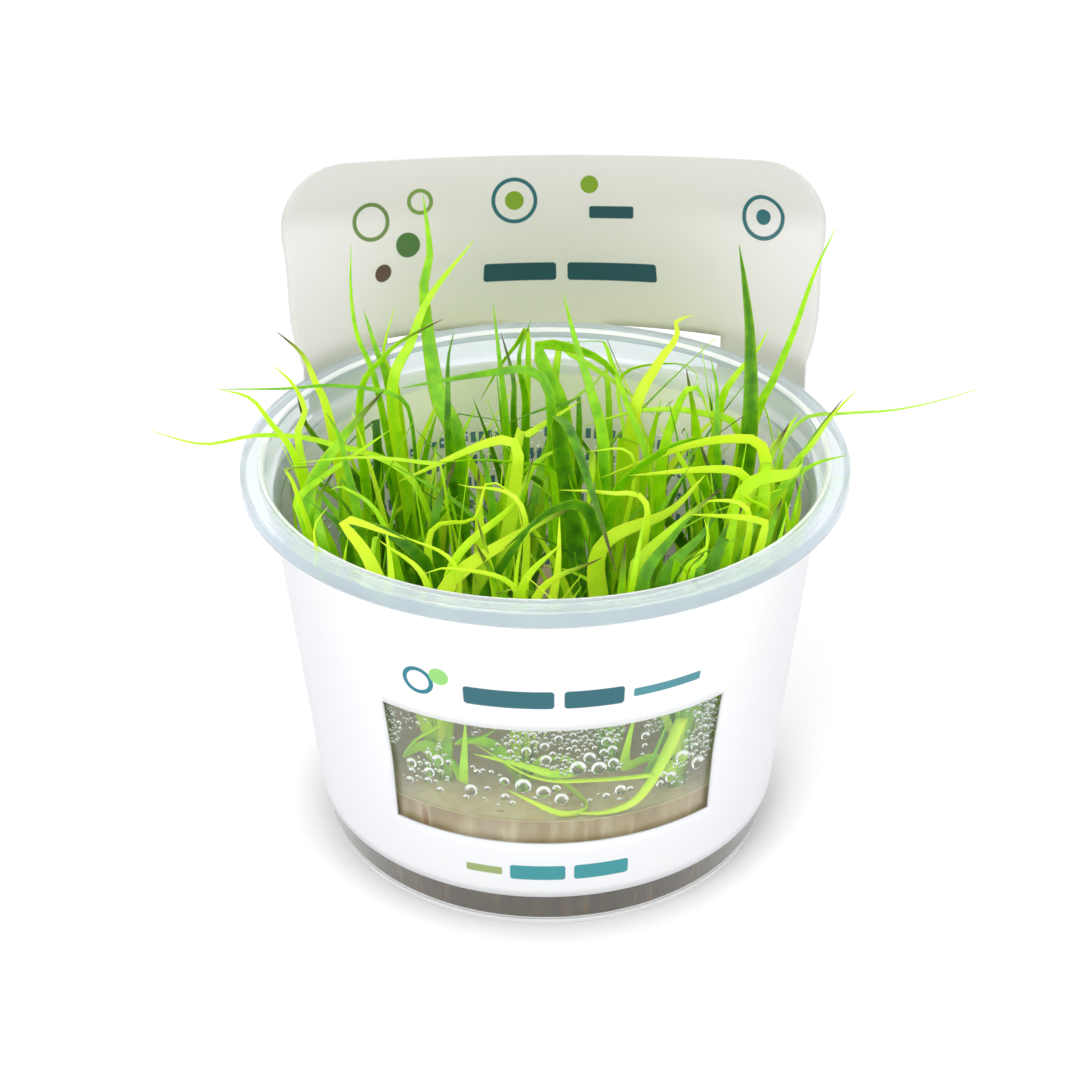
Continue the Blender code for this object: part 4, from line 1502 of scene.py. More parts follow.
@dataclass(frozen=True)
class FillBlades:
    """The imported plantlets' filling blades: up from the crown, leaning over with a droop."""

    each: int = 2
    points: int = 6
    reach: Span = (30 * MM, 56 * MM)
    width: Span = (1.4 * MM, 2.8 * MM)
    turn: Span = (-70.0, 70.0)
    lean: Span = (0.15, 0.75)
    droop: Span = (0.0, 0.30)
    spread: float = 1.3
    swerve: Span = (-0.2, 0.2)
    bow: float = 1.7


@dataclass(frozen=True)
class LooseBlades:
    """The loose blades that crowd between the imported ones."""

    each: int = 8
    first_look: int = 300
    stations: int = 20
    shift_mm: float = 1.2
    sink: float = 0.5
    reach: Span = (24 * MM, 52 * MM)
    width: Span = (0.9 * MM, 2.6 * MM)
    turn: Span = (-90.0, 90.0)
    lean: Span = (0.05, 0.45)
    points: int = 5
    rise: float = 1.15
    lean_rise: float = 1.6
    bow: float = 1.8
    radius: float = 41.0 * MM
    habits: tuple[int, ...] = (5, 3, 2)


@dataclass(frozen=True)
class Fold:
    """A loose blade's fold: how far it leans up to it, and how it lies past it."""

    lean: float = 0.6
    turn: Span = (-1.6, 1.6)
    squash: float = 0.4
    rise: Span = (-0.9, 0.2)
    reach_mm: Span = (8, 24)
    bend: float = 0.12
    crest_mm: float = 0.6
    middle: float = 0.55


@dataclass(frozen=True)
class Roots:
    """The roots that hang from each crown into the gel."""

    each: int = 5
    reach: Span = (5 * MM, 15 * MM)
    width_mm: Span = (0.35, 0.6)
    thick: float = 0.4 * MM
    start: float = 1.2 * MM
    points: int = 4
    lean: float = 0.45
    waves: float = 5.0
    stations: int = 8
    tone: float = 0.5


@dataclass
class Tuft:
    """All the plantlets: each has a crown in the gel, flat blades, and roots below."""

    seed: int = 2600
    tries: int = 60
    stations: int = 36
    tone: Span = (0.46, 0.26)
    dry_share: float = 0.12
    crown_spread: float = 0.5 * MM
    crown_half: tuple[float, float, float] = (1.3 * MM, 1.3 * MM, 2.2 * MM)
    crown_lift: float = 0.1 * MM
    crown_tone: float = 0.35
    wall_clearance: float = 1.5 * MM
    window_clearance: float = 0.5 * MM
    long_looseness: float = 0.04 * MM
    long_rise: float = 4 * MM
    long_turn_share: float = 0.45
    match_within: float = 0.7 * MM
    match_points: int = 8
    placed_first_look: int = 900
    placed_rise: float = 3 * MM
    placed_turn_share: float = 0.5
    fill: FillBlades = FillBlades()
    loose: LooseBlades = LooseBlades()
    fold: Fold = Fold()
    roots: Roots = Roots()

    def attempt(self, blade: int, number: int) -> random.Random:
        """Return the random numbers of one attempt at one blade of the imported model."""
        return random.Random(self.seed + self.tries * blade + number)

    def draw(self, kind: Draw, number: int) -> random.Random:
        """Return the random numbers of one draw of a kind."""
        return random.Random(kind.value * self.seed + number)

    def crown_root(self, rng: random.Random, crown: int) -> Vector:
        """Draw a point inside a crown for a blade to start from."""
        x = CROWNS[crown][0] * MM + rng.uniform(-self.crown_spread, self.crown_spread)
        y = CROWNS[crown][1] * MM + rng.uniform(-self.crown_spread, self.crown_spread)
        return Vector((x, y, GEL_TOP_Z + rng.uniform(0.0, 2 * self.crown_spread)))

    def long_curve(
        self, rng: random.Random, crown: int, points: Iterable[tuple[float, ...]], attempt: int
    ) -> list[Vector]:
        """Draw a long blade's points, moved a little more at each attempt.

        Args:
            rng: Random numbers for this attempt.
            crown: Number of its crown.
            points: Points that the blade passes through, in mm.
            attempt: Number of the attempt.

        Returns:
            The points that the blade's curve passes through.
        """
        root = self.crown_root(rng, crown)
        loose = self.long_looseness * attempt
        shift = Vector((rng.uniform(-loose, loose), rng.uniform(-2 * loose, 2 * loose), 0.0))
        passed = [held_in(Vector(point) * MM + shift, self.wall_clearance) for point in points]
        up = Vector((0.0, 0.0, self.long_rise))
        rise = root.lerp(passed[0], self.long_turn_share) + up + shift
        return [root, held_in(rise, self.wall_clearance)] + passed

    def fill_curve(self, rng: random.Random, crown: int) -> list[Vector]:
        """Draw a filling blade's points: up from the crown, then leaning over with a droop.

        Args:
            rng: Random numbers for this attempt.
            crown: Number of its crown.

        Returns:
            The points that the blade's curve passes through.
        """
        root = self.crown_root(rng, crown)
        reach = rng.uniform(*self.fill.reach)
        lean = rng.uniform(*self.fill.lean)
        droop = rng.uniform(*self.fill.droop)
        around = math.atan2(root.y, root.x) + rng.gauss(0.0, self.fill.spread)
        side = Vector((math.cos(around), math.sin(around), 0.0))
        swerve = Vector((-side.y, side.x, 0.0)) * rng.uniform(*self.fill.swerve)
        points = []
        for i in range(self.fill.points):
            t = i / (self.fill.points - 1)
            rise = Vector((0.0, 0.0, reach * (t - droop * t**3)))
            out = side * reach * lean * t**self.fill.bow
            spot = root + rise + out + swerve * reach * t * t
            points.append(held_in(spot, self.wall_clearance))
        return points

    def in_solid(
        self, tree: BVHTree, drawn: Iterable[list[Vector]], checked: int
    ) -> list[Vector] | None:
        """Find the first of some drawn curves that lies on a plantlet's solid.

        Args:
            tree: The plantlet's solid.
            drawn: Points of each curve.
            checked: How many points along a curve are set against the solid.

        Returns:
            The points of that curve, or nothing if none lies on it.
        """
        for points in drawn:
            path = PathMaker().even(points, checked)
            if all(tree.find_nearest(spot)[3] < self.match_within for spot in path[1:]):
                return points
        return None

    def packed_blades(self) -> list[tuple[int, Blade]]:
        """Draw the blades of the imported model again.

        Returns:
            Number of the crown and blade, for each.
        """
        view = bpy.context.evaluated_depsgraph_get()
        trees = [
            BVHTree.FromObject(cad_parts[f"plantlet_{i + 1:02d}"], view)
            for i in range(len(CROWNS))
        ]
        made = []
        for number, (crown, width, turn, points) in enumerate(LONG_BLADES):
            drawn = (
                self.long_curve(self.attempt(number, i), crown, points, i)
                for i in range(self.tries)
            )
            found = self.in_solid(trees[crown], drawn, self.match_points)
            if found:
                blade = self.blade(found, width * MM, turn, number, self.stations)
                made.append((crown, blade))
        for number in range(self.fill.each * len(CROWNS)):
            crown = number // self.fill.each
            index = len(LONG_BLADES) + number
            look = self.attempt(index, self.tries)
            width = look.uniform(*self.fill.width)
            turn = look.uniform(*self.fill.turn)
            drawn = (self.fill_curve(self.attempt(index, i), crown) for i in range(self.tries))
            found = self.in_solid(trees[crown], drawn, self.fill.points)
            if found:
                blade = self.blade(found, width, turn, index, self.stations)
                made.append((crown, blade))
        return made

    def blade(
        self, points: list[Vector], width: float, turn: float, number: int, stations: int
    ) -> Blade:
        """Make a blade of a curve's points, with a tone of its own.

        Args:
            points: Points that its curve passes through.
            width: Full width.
            turn: Turn of its face, in degrees.
            number: Number that its tone is drawn from.
            stations: Points along its path.

        Returns:
            The blade.
        """
        rng = self.draw(Draw.LOOK, number)
        path = tuple(PathMaker().even(points, stations))
        tone = min(1.0, max(0.0, rng.gauss(*self.tone)))
        dry = 1.0 if rng.random() < self.dry_share else 0.0
        return Blade(path, width, turn, tone, dry)

    def folded(
        self, rng: random.Random, root: Vector, fold: Vector, around: float
    ) -> list[Vector]:
        """Draw the points of a blade that stands up to a fold and lies over from there.

        Args:
            rng: Random numbers for this blade.
            root: Point that it starts from.
            fold: Point that it folds at.
            around: Angle that it leans at.

        Returns:
            The points past its first.
        """
        up = Vector((0.0, 0.0, 1.0))
        side = Vector((math.cos(around), math.sin(around), 0.0))
        turned_by = around + rng.uniform(*self.fold.turn)
        depth = self.fold.squash * math.sin(turned_by)
        out = Vector((math.cos(turned_by), depth, rng.uniform(*self.fold.rise)))
        length = rng.uniform(*self.fold.reach_mm) * MM
        return [
            root.lerp(fold, 0.5) + side * MM,
            fold,
            fold + out * self.fold.bend * length + up * self.fold.crest_mm * MM,
            fold + out * self.fold.middle * length,
            fold + out * length - up * self.fold.bend * length,
        ]

    def loose_curve(self, rng: random.Random, crown: int) -> list[Vector]:
        """Draw a loose blade's points, in one of the habits.

        Args:
            rng: Random numbers for this blade.
            crown: Number of its crown.

        Returns:
            The points that its curve passes through.
        """
        root = self.crown_root(rng, crown)
        off = Vector((rng.uniform(-1, 1), rng.uniform(-1, 1), -self.loose.sink))
        root += off * self.loose.shift_mm * MM
        habit = rng.choices(list(Habit), weights=self.loose.habits)[0]
        reach = rng.uniform(*self.loose.reach)
        around = rng.uniform(0.0, math.tau)
        side = Vector((math.cos(around), math.sin(around), 0.0))
        up = Vector((0.0, 0.0, 1.0))
        lean = rng.uniform(*self.loose.lean)
        points = [root]
        if habit is Habit.FOLDED:
            fold = root + up * reach + side * lean * reach * self.fold.lean
            points += self.folded(rng, root, fold, around)
        else:
            droop = rng.uniform(*DROOPS[habit])
            for i in range(1, self.loose.points + 1):
                t = i / self.loose.points
                rise = up * reach * self.loose.rise * (t - droop * t**3)
                out = side * reach * lean * self.loose.lean_rise * t**self.loose.bow
                points.append(root + rise + out)
        kept = []
        for spot in points:
            inside = held_in(spot, self.wall_clearance)
            over = min(1.0, self.loose.radius / max(MM, inside.xy.length))
            kept.append(Vector((inside.x * over, inside.y * over, inside.z)))
        return kept

    def added_blades(self) -> list[tuple[int, Blade]]:
        """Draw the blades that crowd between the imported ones: first the placed, then the loose.

        Returns:
            Number of the crown and blade, for each.
        """
        made = []
        marked = [(row, self.wall_clearance) for row in CROSSING_BLADES]
        marked += [(row, self.window_clearance) for row in WINDOW_BLADES]
        for number, ((crown, width, turn, tone, points), clearance) in enumerate(marked):
            rng = self.draw(Draw.PLACED, number)
            root = self.crown_root(rng, crown)
            passed = [held_in(Vector(point) * MM, clearance) for point in points]
            up = Vector((0.0, 0.0, self.placed_rise))
            rise = root.lerp(passed[0], self.placed_turn_share) + up
            curve = [root, held_in(rise, clearance)] + passed
            look = self.placed_first_look + number
            blade = self.blade(curve, width * MM, turn, look, self.stations)
            made.append((crown, replace(blade, tone=tone)))
        for number in range(self.loose.each * len(CROWNS)):
            crown = number // self.loose.each
            rng = self.draw(Draw.LOOSE, number)
            width = rng.uniform(*self.loose.width)
            turn = rng.uniform(*self.loose.turn)
            points = self.loose_curve(rng, crown)
            look = self.loose.first_look + number
            made.append((crown, self.blade(points, width, turn, look, self.loose.stations)))
        return made

    def crown_mesh(self, crown: int) -> bmesh.types.BMesh:
        """Make a plantlet's crown: a small bulb of leaf bases, half sunk in the gel.

        Args:
            crown: Number of the crown.

        Returns:
            Its mesh.
        """
        bm = bmesh.new()
        x, y = CROWNS[crown]
        bmesh.ops.create_uvsphere(bm, u_segments=12, v_segments=8, radius=1.0)
        bmesh.ops.scale(bm, vec=self.crown_half, verts=bm.verts)
        middle = (x * MM, y * MM, GEL_TOP_Z + self.crown_lift)
        bmesh.ops.translate(bm, vec=middle, verts=bm.verts)
        return bm

    def root_paths(self, crown: int) -> list[Blade]:
        """Draw the roots that hang from a crown into the gel.

        Args:
            crown: Number of the crown.

        Returns:
            The roots, as blades without a gutter.
        """
        rng = self.draw(Draw.ROOT, crown)
        x, y = CROWNS[crown]
        start = Vector((x * MM, y * MM, GEL_TOP_Z - self.roots.start))
        made = []
        for _ in range(self.roots.each):
            around = rng.uniform(0.0, math.tau)
            side = Vector((math.cos(around), math.sin(around), 0.0))
            reach = rng.uniform(*self.roots.reach)
            points = [start]
            for i in range(1, self.roots.points + 1):
                t = i / self.roots.points
                swing = math.sin(self.roots.waves * t + around)
                wave = side.cross(Vector((0.0, 0.0, 1.0))) * swing * MM
                down = Vector((0.0, 0.0, reach * t))
                spot = start + side * reach * self.roots.lean * t - down + wave
                points.append(held_in(spot, MM))
            path = tuple(PathMaker().even(points, self.roots.stations))
            width = rng.uniform(*self.roots.width_mm) * MM
            made.append(Blade(path, width, 0.0, self.roots.tone, 0.0))
        return made

    def build(self, leaf: Finish, root: Finish) -> list[bpy.types.Object]:
        """Make every plantlet and put it in the place of its solid.

        Args:
            leaf: The blades' and crowns' tissue.
            root: The roots' tissue.

        Returns:
            The plantlets.
        """
        shape = BladeShape()
        root_shape = BladeShape(section_sides=6, thick=self.roots.thick, gutter=0.0)
        finishes = [leaf.make(), root.make()]
        blades = self.packed_blades()
        LOG.info("%d blades of the packed model drawn again", len(blades))
        blades += self.added_blades()
        crown_look = Blade((), 0.0, 0.0, self.crown_tone, 0.0)
        made = []
        for crown in range(len(CROWNS)):
            whole = bmesh.new()
            parts = [(shape.sweep(b), b, 0) for owner, b in blades if owner == crown]
            parts += [(root_shape.sweep(b), b, 1) for b in self.root_paths(crown)]
            parts.append((self.crown_mesh(crown), crown_look, 0))
            for part, blade, index in parts:
                self.join(whole, part, blade, index)
            name = f"plantlet_{crown + 1:02d}"
            plantlet = put_object(f"rush_{name}", whole, finishes)
            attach(plantlet, ROOT_BODY)
            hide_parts(name)
            made.append(plantlet)
        return made

    def join(
        self, whole: bmesh.types.BMesh, part: bmesh.types.BMesh, blade: Blade, index: int
    ) -> None:
        """Join a part to a plantlet's mesh, with its tone noted on its points.

        Args:
            whole: The plantlet's mesh.
            part: The part's mesh, which is freed.
            blade: The part's tone and dry tip.
            index: Its material slot.
        """
        tone = part.verts.layers.float.new("tone")
        dry = part.verts.layers.float.new("dry")
        for vert in part.verts:
            vert[tone] = blade.tone
            vert[dry] = blade.dry
        for face in part.faces:
            face.material_index = index
        mesh = bpy.data.meshes.new("part")
        part.to_mesh(mesh)
        part.free()
        whole.from_mesh(mesh)
        bpy.data.meshes.remove(mesh)


# Drops

# Large drops in the window: angle from the front in degrees, height and radius in mm
LARGE_DROPS = (
    (-5.4, 28.6, 1.3), (-0.9, 27.5, 1.15), (3.1, 26.0, 1.1), (6.7, 32.0, 1.3),
    (11.4, 31.6, 1.2), (9.2, 33.9, 1.0), (12.8, 36.7, 0.85), (-0.3, 33.9, 0.9),
    (14.6, 32.3, 0.9), (14.2, 34.9, 0.8), (-9.6, 29.3, 0.8), (-17.4, 26.7, 1.0),
    (-9.5, 26.2, 0.7), (-7.9, 25.1, 0.5), (-25.0, 31.2, 1.0), (-32.1, 29.0, 0.9),
    (-27.5, 28.3, 0.9), (-33.9, 29.9, 0.8), (-33.0, 25.4, 0.7), (-25.1, 25.3, 0.6),
    (16.6, 26.6, 0.9), (18.9, 26.5, 0.5), (31.8, 29.9, 1.2), (36.6, 27.3, 1.2),
    (29.1, 26.6, 1.0), (26.4, 25.9, 0.7), (27.1, 27.6, 0.6), (34.9, 31.1, 0.7),
    (37.1, 34.1, 0.7), (38.6, 37.3, 0.8), (13.3, 25.9, 0.6), (9.5, 25.4, 0.4),
    (-18.7, 25.1, 0.5), (2.0, 28.2, 0.7), (-13.5, 27.5, 0.5),
)

# Patches of smaller drops: middle (degrees, mm), half sizes (degrees, mm), radii in mm, most drops
DROP_PATCHES = (
    ((3.0, 35.0), (19.0, 4.6), (0.3, 0.85), 900),
    ((3.5, 39.0), (24.0, 2.4), (0.14, 0.32), 1300),
    ((-28.0, 31.5), (9.0, 5.0), (0.25, 0.75), 300),
    ((-38.0, 34.5), (3.0, 7.0), (0.16, 0.45), 300),
    ((32.0, 34.5), (7.5, 6.5), (0.25, 0.7), 400),
    ((39.0, 36.0), (3.0, 6.0), (0.16, 0.4), 200),
    ((-17.0, 36.0), (4.5, 5.0), (0.16, 0.42), 200),
    ((-33.0, 42.0), (9.0, 5.0), (0.16, 0.4), 300),
    ((0.0, 26.0), (35.0, 1.8), (0.16, 0.4), 50),
)


@dataclass(frozen=True)
class PaintedCrescent:
    """The painted white highlight crescent near a drop's top, as seen from the front and from
    above.
    """

    high: float = 0.87
    off: float = 0.5
    shift: float = 0.18
    foot: float = 0.05
    foot_fade: float = 0.2
    inner: float = 0.5
    inner_fade: float = 0.12

    def light(self, corners: np.ndarray, up: np.ndarray) -> np.ndarray:
        """Work out how much painted highlight each of a drop's corners takes.

        Args:
            corners: Corners of a half ball of radius 1 that stands on its flat side.
            up: How high each of them is over the ball's middle once the drop is on the wall.

        Returns:
            A share from 0 to 1 for each corner.
        """
        aside = np.hypot(corners[:, 0], corners[:, 1]) ** 2 - up**2
        seen = self.high * up + self.off * corners[:, 2] - self.shift
        out = np.sqrt(np.maximum(aside, 0.0) + seen**2)
        above = np.clip((seen + self.foot) / self.foot_fade, 0, 1)
        return above * np.clip((out - self.inner) / self.inner_fade, 0, 1)


@dataclass
class Drops:
    """Condensed water on the inside of the cup's wall."""

    seed: int = 91
    sink: float = 0.04 * MM
    flat: float = 0.8
    fine_above: float = 0.7 * MM
    lap: float = 0.93
    mist_count: int = 1500
    mist_starts: float = 0.78
    mist_heights: Span = (23.0, 50.0)
    mist_radii: Span = (0.14, 0.4)
    mist_flat: float = 0.7
    leaf_samples: int = 40
    leaf_share: float = 0.35
    leaf_gap: float = 0.7 * MM
    painted_highlight: PaintedCrescent = PaintedCrescent()

    def on_wall(self, angle: float, height: float, radius: float, flat: float) -> Matrix:
        """Return the matrix that sets a drop's base on the wall.

        Args:
            angle: Angle from the front.
            height: Height on the wall.
            radius: The drop's radius.
            flat: Its height off the wall as a share of its radius.

        Returns:
            The matrix for a half ball of radius 1 that stands on its flat side.
        """
        wall = inner_radius(height)
        spot = Vector((wall * math.sin(angle), -wall * math.cos(angle), height))
        inward = Vector((-math.sin(angle), math.cos(angle), WALL_SLOPE)).normalized()
        spot -= inward * (self.sink + radius * radius / (2.0 * wall))
        turn = inward.to_track_quat("Z", "Y").to_matrix().to_4x4()
        size = Matrix.Diagonal((radius, radius, radius * flat, 1.0))
        return Matrix.Translation(spot) @ turn @ size

    def half_ball(self, detail: int) -> tuple[np.ndarray, list[list[int]]]:
        """Make a half ball of radius 1 that stands on its flat side.

        Args:
            detail: Subdivisions of the ball.

        Returns:
            Its corners, and the corners of each face; the flat side comes last.
        """
        ball = bmesh.new()
        bmesh.ops.create_icosphere(ball, subdivisions=detail, radius=1.0)
        whole = ball.verts[:] + ball.edges[:] + ball.faces[:]
        up = (0.0, 0.0, 1.0)
        bmesh.ops.bisect_plane(ball, geom=whole, plane_co=(0, 0, 0), plane_no=up, clear_inner=True)
        rim = [edge for edge in ball.edges if edge.is_boundary]
        flat = bmesh.ops.contextual_create(ball, geom=rim)["faces"]
        bmesh.ops.recalc_face_normals(ball, faces=ball.faces)
        ball.verts.index_update()
        corners = np.array([tuple(vert.co) for vert in ball.verts])
        listed = [face for face in ball.faces if face not in flat] + flat
        faces = [[vert.index for vert in face.verts] for face in listed]
        ball.free()
        return corners, faces

    def stamp(
        self, name: str, places: list[tuple[int, Matrix]], finish: bpy.types.Material
    ) -> bpy.types.Object:
        """Copy half balls to every place in a single mesh, and note their painted highlights.

        Args:
            name: Object's name.
            places: Detail and matrix of each drop.
            finish: The water.

        Returns:
            The drops.
        """
        balls = {detail: self.half_ball(detail) for detail in {place[0] for place in places}}
        points: list[np.ndarray] = []
        faces: list[list[int]] = []
        painted_highlights: list[float] = []
        flats: list[bool] = []
        start = 0
        for detail, place in places:
            corners, sides = balls[detail]
            matrix = np.array(place)
            points.append(corners @ matrix[:3, :3].T + matrix[:3, 3])
            unit = matrix[:3, :3] / np.linalg.norm(matrix[:3, :3], axis=0)
            painted_highlight = self.painted_highlight.light(corners, (corners @ unit.T)[:, 2])
            for k, side in enumerate(sides):
                flat = k == len(sides) - 1
                faces.append([start + i for i in side])
                painted_highlights += [0.0 if flat else float(painted_highlight[i]) for i in side]
                flats.append(flat)
            start += len(corners)
        mesh = bpy.data.meshes.new(name)
        mesh.from_pydata(np.concatenate(points).tolist(), [], faces)
        mesh.polygons.foreach_set("use_smooth", [not flat for flat in flats])
        mesh.attributes.new("painted_highlight", "FLOAT", "CORNER").data.foreach_set("value", painted_highlights)
        mesh.materials.append(finish)
        drops = bpy.data.objects.new(name, mesh)
        bpy.context.scene.collection.objects.link(drops)
        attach(drops, ROOT_BODY)
        return drops

    def leaves_in_window(self) -> list[tuple[float, float, float]]:
        """List the places that the window's blades press on.

        Returns:
            Angle, height and half width of each place.
        """
        held = []
        for _, width, _, _, points in WINDOW_BLADES:
            reach = self.leaf_share * width * MM + self.leaf_gap
            curve = [Vector(point) * MM for point in points]
            for spot in PathMaker().even(curve, self.leaf_samples):
                held.append((math.atan2(spot.x, -spot.y), spot.z, reach))
        return held

    def clear_of(
        self, drop: tuple[float, float, float], taken: Iterable[tuple[float, float, float]]
    ) -> bool:
        """Tell whether a drop stands clear of places that are taken, but for a small lap.

        Args:
            drop: Angle, height and radius.
            taken: Angle, height and radius of each place.

        Returns:
            Whether it does.
        """
        angle, height, radius = drop
        wall = inner_radius(height)
        return all(
            math.hypot((angle - around) * wall, height - high) > self.lap * (radius + reach)
            for around, high, reach in taken
        )

    def in_window(self, rng: random.Random) -> list[tuple[float, float, float]]:
        """Place the window's drops: the large ones first, then the patches between them.

        Args:
            rng: Random numbers.

        Returns:
            Angle, height and radius of each drop.
        """
        held = self.leaves_in_window()
        made = []
        for degrees, height, radius in LARGE_DROPS:
            drop = (math.radians(degrees), height * MM, radius * MM)
            if self.clear_of(drop, made):
                made.append(drop)
        for (degrees, middle), (wide, tall), (least, most), count in DROP_PATCHES:
            for _ in range(count):
                around = math.radians(degrees + rng.uniform(-wide, wide))
                height = (middle + rng.uniform(-tall, tall)) * MM
                drop = (around, height, (least + (most - least) * rng.random() ** 2) * MM)
                if self.clear_of(drop, made) and self.clear_of(drop, held):
                    made.append(drop)
        return made

    def build(self, water: Finish) -> list[bpy.types.Object]:
        """Set the drops on the wall: large above the gel, small higher up, mist behind.

        Args:
            water: The drops' material.

        Returns:
            The drops.
        """
        rng = random.Random(self.seed)
        finish = water.make()
        near = []
        for angle, height, radius in self.in_window(rng):
            detail = 3 if radius > self.fine_above else 2
            near.append((detail, self.on_wall(angle, height, radius, self.flat)))
        far = []
        for _ in range(self.mist_count):
            angle = rng.uniform(self.mist_starts, math.tau - self.mist_starts)
            height = rng.uniform(*self.mist_heights) * MM
            radius = rng.uniform(*self.mist_radii) * MM
            far.append((1, self.on_wall(angle, height, radius, self.mist_flat)))
        return [self.stamp("wall_drops", near, finish), self.stamp("wall_mist", far, finish)]


# Studio


@dataclass(frozen=True)
class SoftLight:
    """A square soft light that hangs at a place, in metres, and points at the cup."""

    name: str
    place: tuple[float, float, float]
    size: float
    watts: float


@dataclass
class Studio:
    """Pale paper floor, soft lights and the camera, whose place and target are in mm."""

    camera_place: tuple[float, float, float] = (-0.9, -323.8, 238.8)
    camera_target: tuple[float, float, float] = (-0.854, 0.0, 48.708)
    camera_roll: float = -0.419
    lens: float = 78.4
    film_width: float = 36.0
    nearest_seen: float = 10 * MM
    floor_size: float = 6.0
    sky: float = 1.02
    key: SoftLight = SoftLight("key_light", (-0.4, -0.7, 1.0), 0.6, 4.9)
    fill: SoftLight = SoftLight("fill_light", (0.7, -0.5, 0.6), 0.7, 1.6)
    lit_point: tuple[float, float, float] = (0.0, 0.0, 0.05)

    def floor(self, finish: Finish) -> None:
        """Lay the floor.

        Args:
            finish: The floor's paper.
        """
        bm = bmesh.new()
        bmesh.ops.create_grid(bm, x_segments=8, y_segments=8, size=self.floor_size / 2)
        ground = put_object("studio_floor", bm, [finish.make()])

    def lights(self) -> None:
        """Hang a large soft light over the front, a fill and an even sky."""
        world = bpy.data.worlds.new("studio_sky")
        world.use_nodes = True
        shade = world.node_tree.nodes["Background"]
        shade.inputs["Color"].default_value = (1.0, 1.0, 1.0, 1.0)
        shade.inputs["Strength"].default_value = self.sky
        bpy.context.scene.world = world
        for light in (self.key, self.fill):
            lamp = bpy.data.lights.new(light.name, "AREA")
            lamp.size = light.size
            lamp.energy = light.watts
            made = bpy.data.objects.new(light.name, lamp)
            made.location = light.place
            aim = Vector(self.lit_point) - Vector(light.place)
            made.rotation_euler = aim.to_track_quat("-Z", "Y").to_euler()
            bpy.context.scene.collection.objects.link(made)

    def camera(self) -> None:
        """Set up the camera at the photograph's angle."""
        place = Vector(self.camera_place) * MM
        ahead = (Vector(self.camera_target) * MM - place).normalized()
        right = Vector((1.0, 0.0, 0.0))
        right = (right - ahead * right.dot(ahead)).normalized()
        up = right.cross(ahead)
        roll = math.radians(self.camera_roll)
        side = math.cos(roll) * right + math.sin(roll) * up
        top = -math.sin(roll) * right + math.cos(roll) * up
        turn = Matrix((side, top, -ahead)).transposed().to_4x4()
        data = bpy.data.cameras.new("camera")
        data.sensor_width = self.film_width
        data.lens = self.lens
        data.clip_start = self.nearest_seen
        made = bpy.data.objects.new("camera", data)
        made.matrix_world = Matrix.Translation(place) @ turn
        bpy.context.scene.collection.objects.link(made)
        bpy.context.scene.camera = made

    def look(self) -> None:
        """Show colours as they are, with no film curve."""
        bpy.context.scene.view_settings.view_transform = "Standard"


# Plain bars, rings and discs that are printed on the sleeve
FRONT_MARKS = (
    Mark(MarkShape.RING, (-20.0, 47.0), (4.2, 4.2), "1F7F93"),
    Mark(MarkShape.DISC, (-16.6, 48.6), (3.0, 3.0), "9BDC7C"),
    Mark(MarkShape.BAR, (-6.6, 46.2), (13.0, 3.2), "2C6A76"),
    Mark(MarkShape.BAR, (5.6, 46.2), (8.6, 3.2), "2C6A76"),
    Mark(MarkShape.BAR, (16.6, 46.2), (10.6, 1.5), "4E93A0"),
    Mark(MarkShape.BAR, (-11.6, 11.8), (6.0, 1.5), "9DB070"),
    Mark(MarkShape.BAR, (-2.8, 11.8), (9.0, 2.9), "3A98A0"),
    Mark(MarkShape.BAR, (7.6, 11.8), (9.0, 2.9), "3A98A0"),
)
HEADER_MARKS = (
    Mark(MarkShape.BAR, (-6.0, 73.5), (13.0, 3.3), "27575C"),
    Mark(MarkShape.BAR, (10.5, 73.5), (16.0, 3.3), "27575C"),
    Mark(MarkShape.RING, (38.0, 84.7), (7.0, 7.0), "2F6E74"),
    Mark(MarkShape.DISC, (38.0, 84.7), (2.6, 2.6), "2F6E74"),
    Mark(MarkShape.RING, (-7.0, 86.6), (7.6, 7.6), "2F6E74"),
    Mark(MarkShape.DISC, (-7.0, 86.6), (3.4, 3.4), "86A92E"),
    Mark(MarkShape.DISC, (6.5, 89.4), (3.2, 3.2), "86A92E"),
    Mark(MarkShape.BAR, (10.5, 84.4), (8.0, 2.2), "27575C"),
    Mark(MarkShape.RING, (-33.0, 84.0), (6.0, 6.0), "6E8C4C"),
    Mark(MarkShape.DISC, (-26.5, 79.5), (4.4, 4.4), "4F7A3C"),
    Mark(MarkShape.RING, (-24.0, 87.0), (4.0, 4.0), "7FA04E"),
    Mark(MarkShape.DISC, (-31.0, 75.0), (3.0, 3.0), "5E4A38"),
)


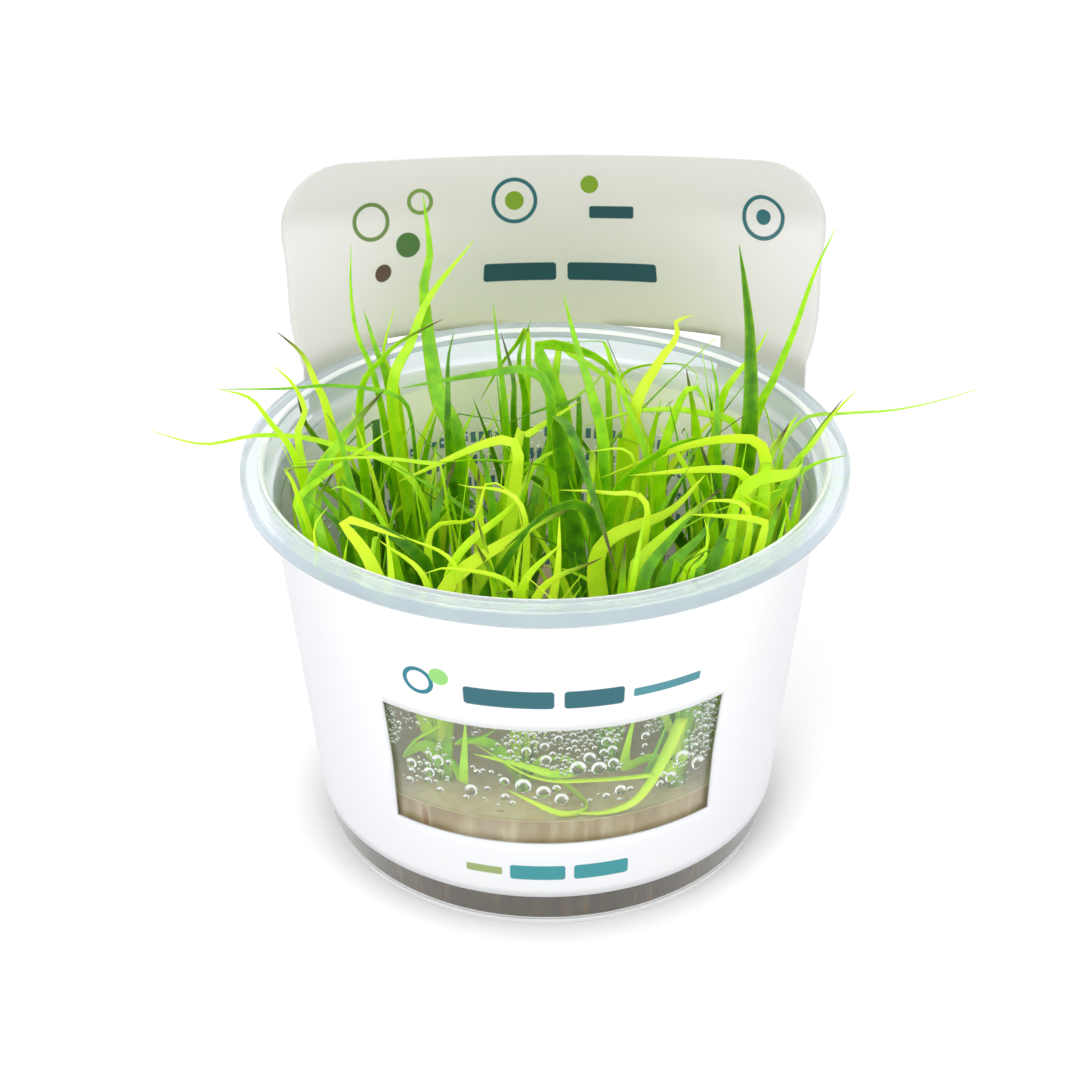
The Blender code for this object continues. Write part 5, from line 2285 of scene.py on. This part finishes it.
def main() -> None:
    """Build the pieces in order and report each."""
    studio = Studio()
    studio.camera()
    studio.look()
    front = CoatedCard(
        "coated_card_front",
        ground=((0.05, "EEEFF2"), (0.3, "F6F7FA"), (0.55, "FCFCFE"), (1.0, "F8F8F6")),
        side_colour="EFEEF3",
        uv_map="front",
        marks=FRONT_MARKS,
    )
    back = CoatedCard(
        "coated_card_inside",
        # Up to the wrap's top the pale yellow-green is painted light, for light that shines through
        # the card and the leaves; the greenish tint low on the header is partly print and partly a
        # painted reflection of the leaves; the grey above is print
        ground=(
            (0.15, "FAFAEA"),
            (0.5, "FBFFDE"),
            (0.61, "FBFFDE"),
            (0.66, "E6E9CB"),
            (0.8, "E2E3D6"),
            (1.0, "E9E7E1"),
        ),
        side_colour="E6E5E1",
        glow=0.32,
        marks=HEADER_MARKS,
        rows=BlockRows(),
    )
    rim = MouldedPolypropylene("moulded_polypropylene_rim", tint="E6EDF2", clearness=0.78, ior=1.4)
    # The skirt's darker grey-blue tint is painted shade, where the rim hangs over the card
    skirt = replace(
        rim, name="moulded_polypropylene_shaded_skirt", tint="C4D0D8", roughness=0.12, clearness=0.6
    )
    # The mouth's white, milky tint is a painted highlight along the inner lip
    mouth = replace(rim, name="moulded_polypropylene_mouth_highlight", tint="FFFFFF", clearness=0.35)
    wall = MouldedPolypropylene("moulded_polypropylene")
    plastics = {Zone.WALL: wall, Zone.COLLAR: rim, Zone.SKIRT: skirt, Zone.MOUTH: mouth}
    pieces = Cup().build(plastics)
    # The skin takes lighter copies of the gel's upper colours: painted light where it faces up to
    # the lights
    skin = SetAgar(
        "set_agar_lit_skin",
        upper=((0.3, "EACF9C"), (0.52, "F6DFB4"), (0.66, "FAE8C6"), (0.74, "D0A765")),
    )
    pieces += Gel().build(SetAgar("set_agar"), skin)
    pieces += Sleeve().build(front, back)
    pieces += Tuft().build(LeafTissue("leaf_tissue"), RootTissue("root_tissue"))
    pieces += Drops().build(CondensedWater("condensed_water"))
    for piece in pieces:
        LOG.info("%s: %d faces", piece.name, len(piece.data.polygons))
    studio.floor(StudioPaper("studio_paper"))
    studio.lights()


if __name__ == "__main__":
    logging.basicConfig(level=logging.INFO)
    main()
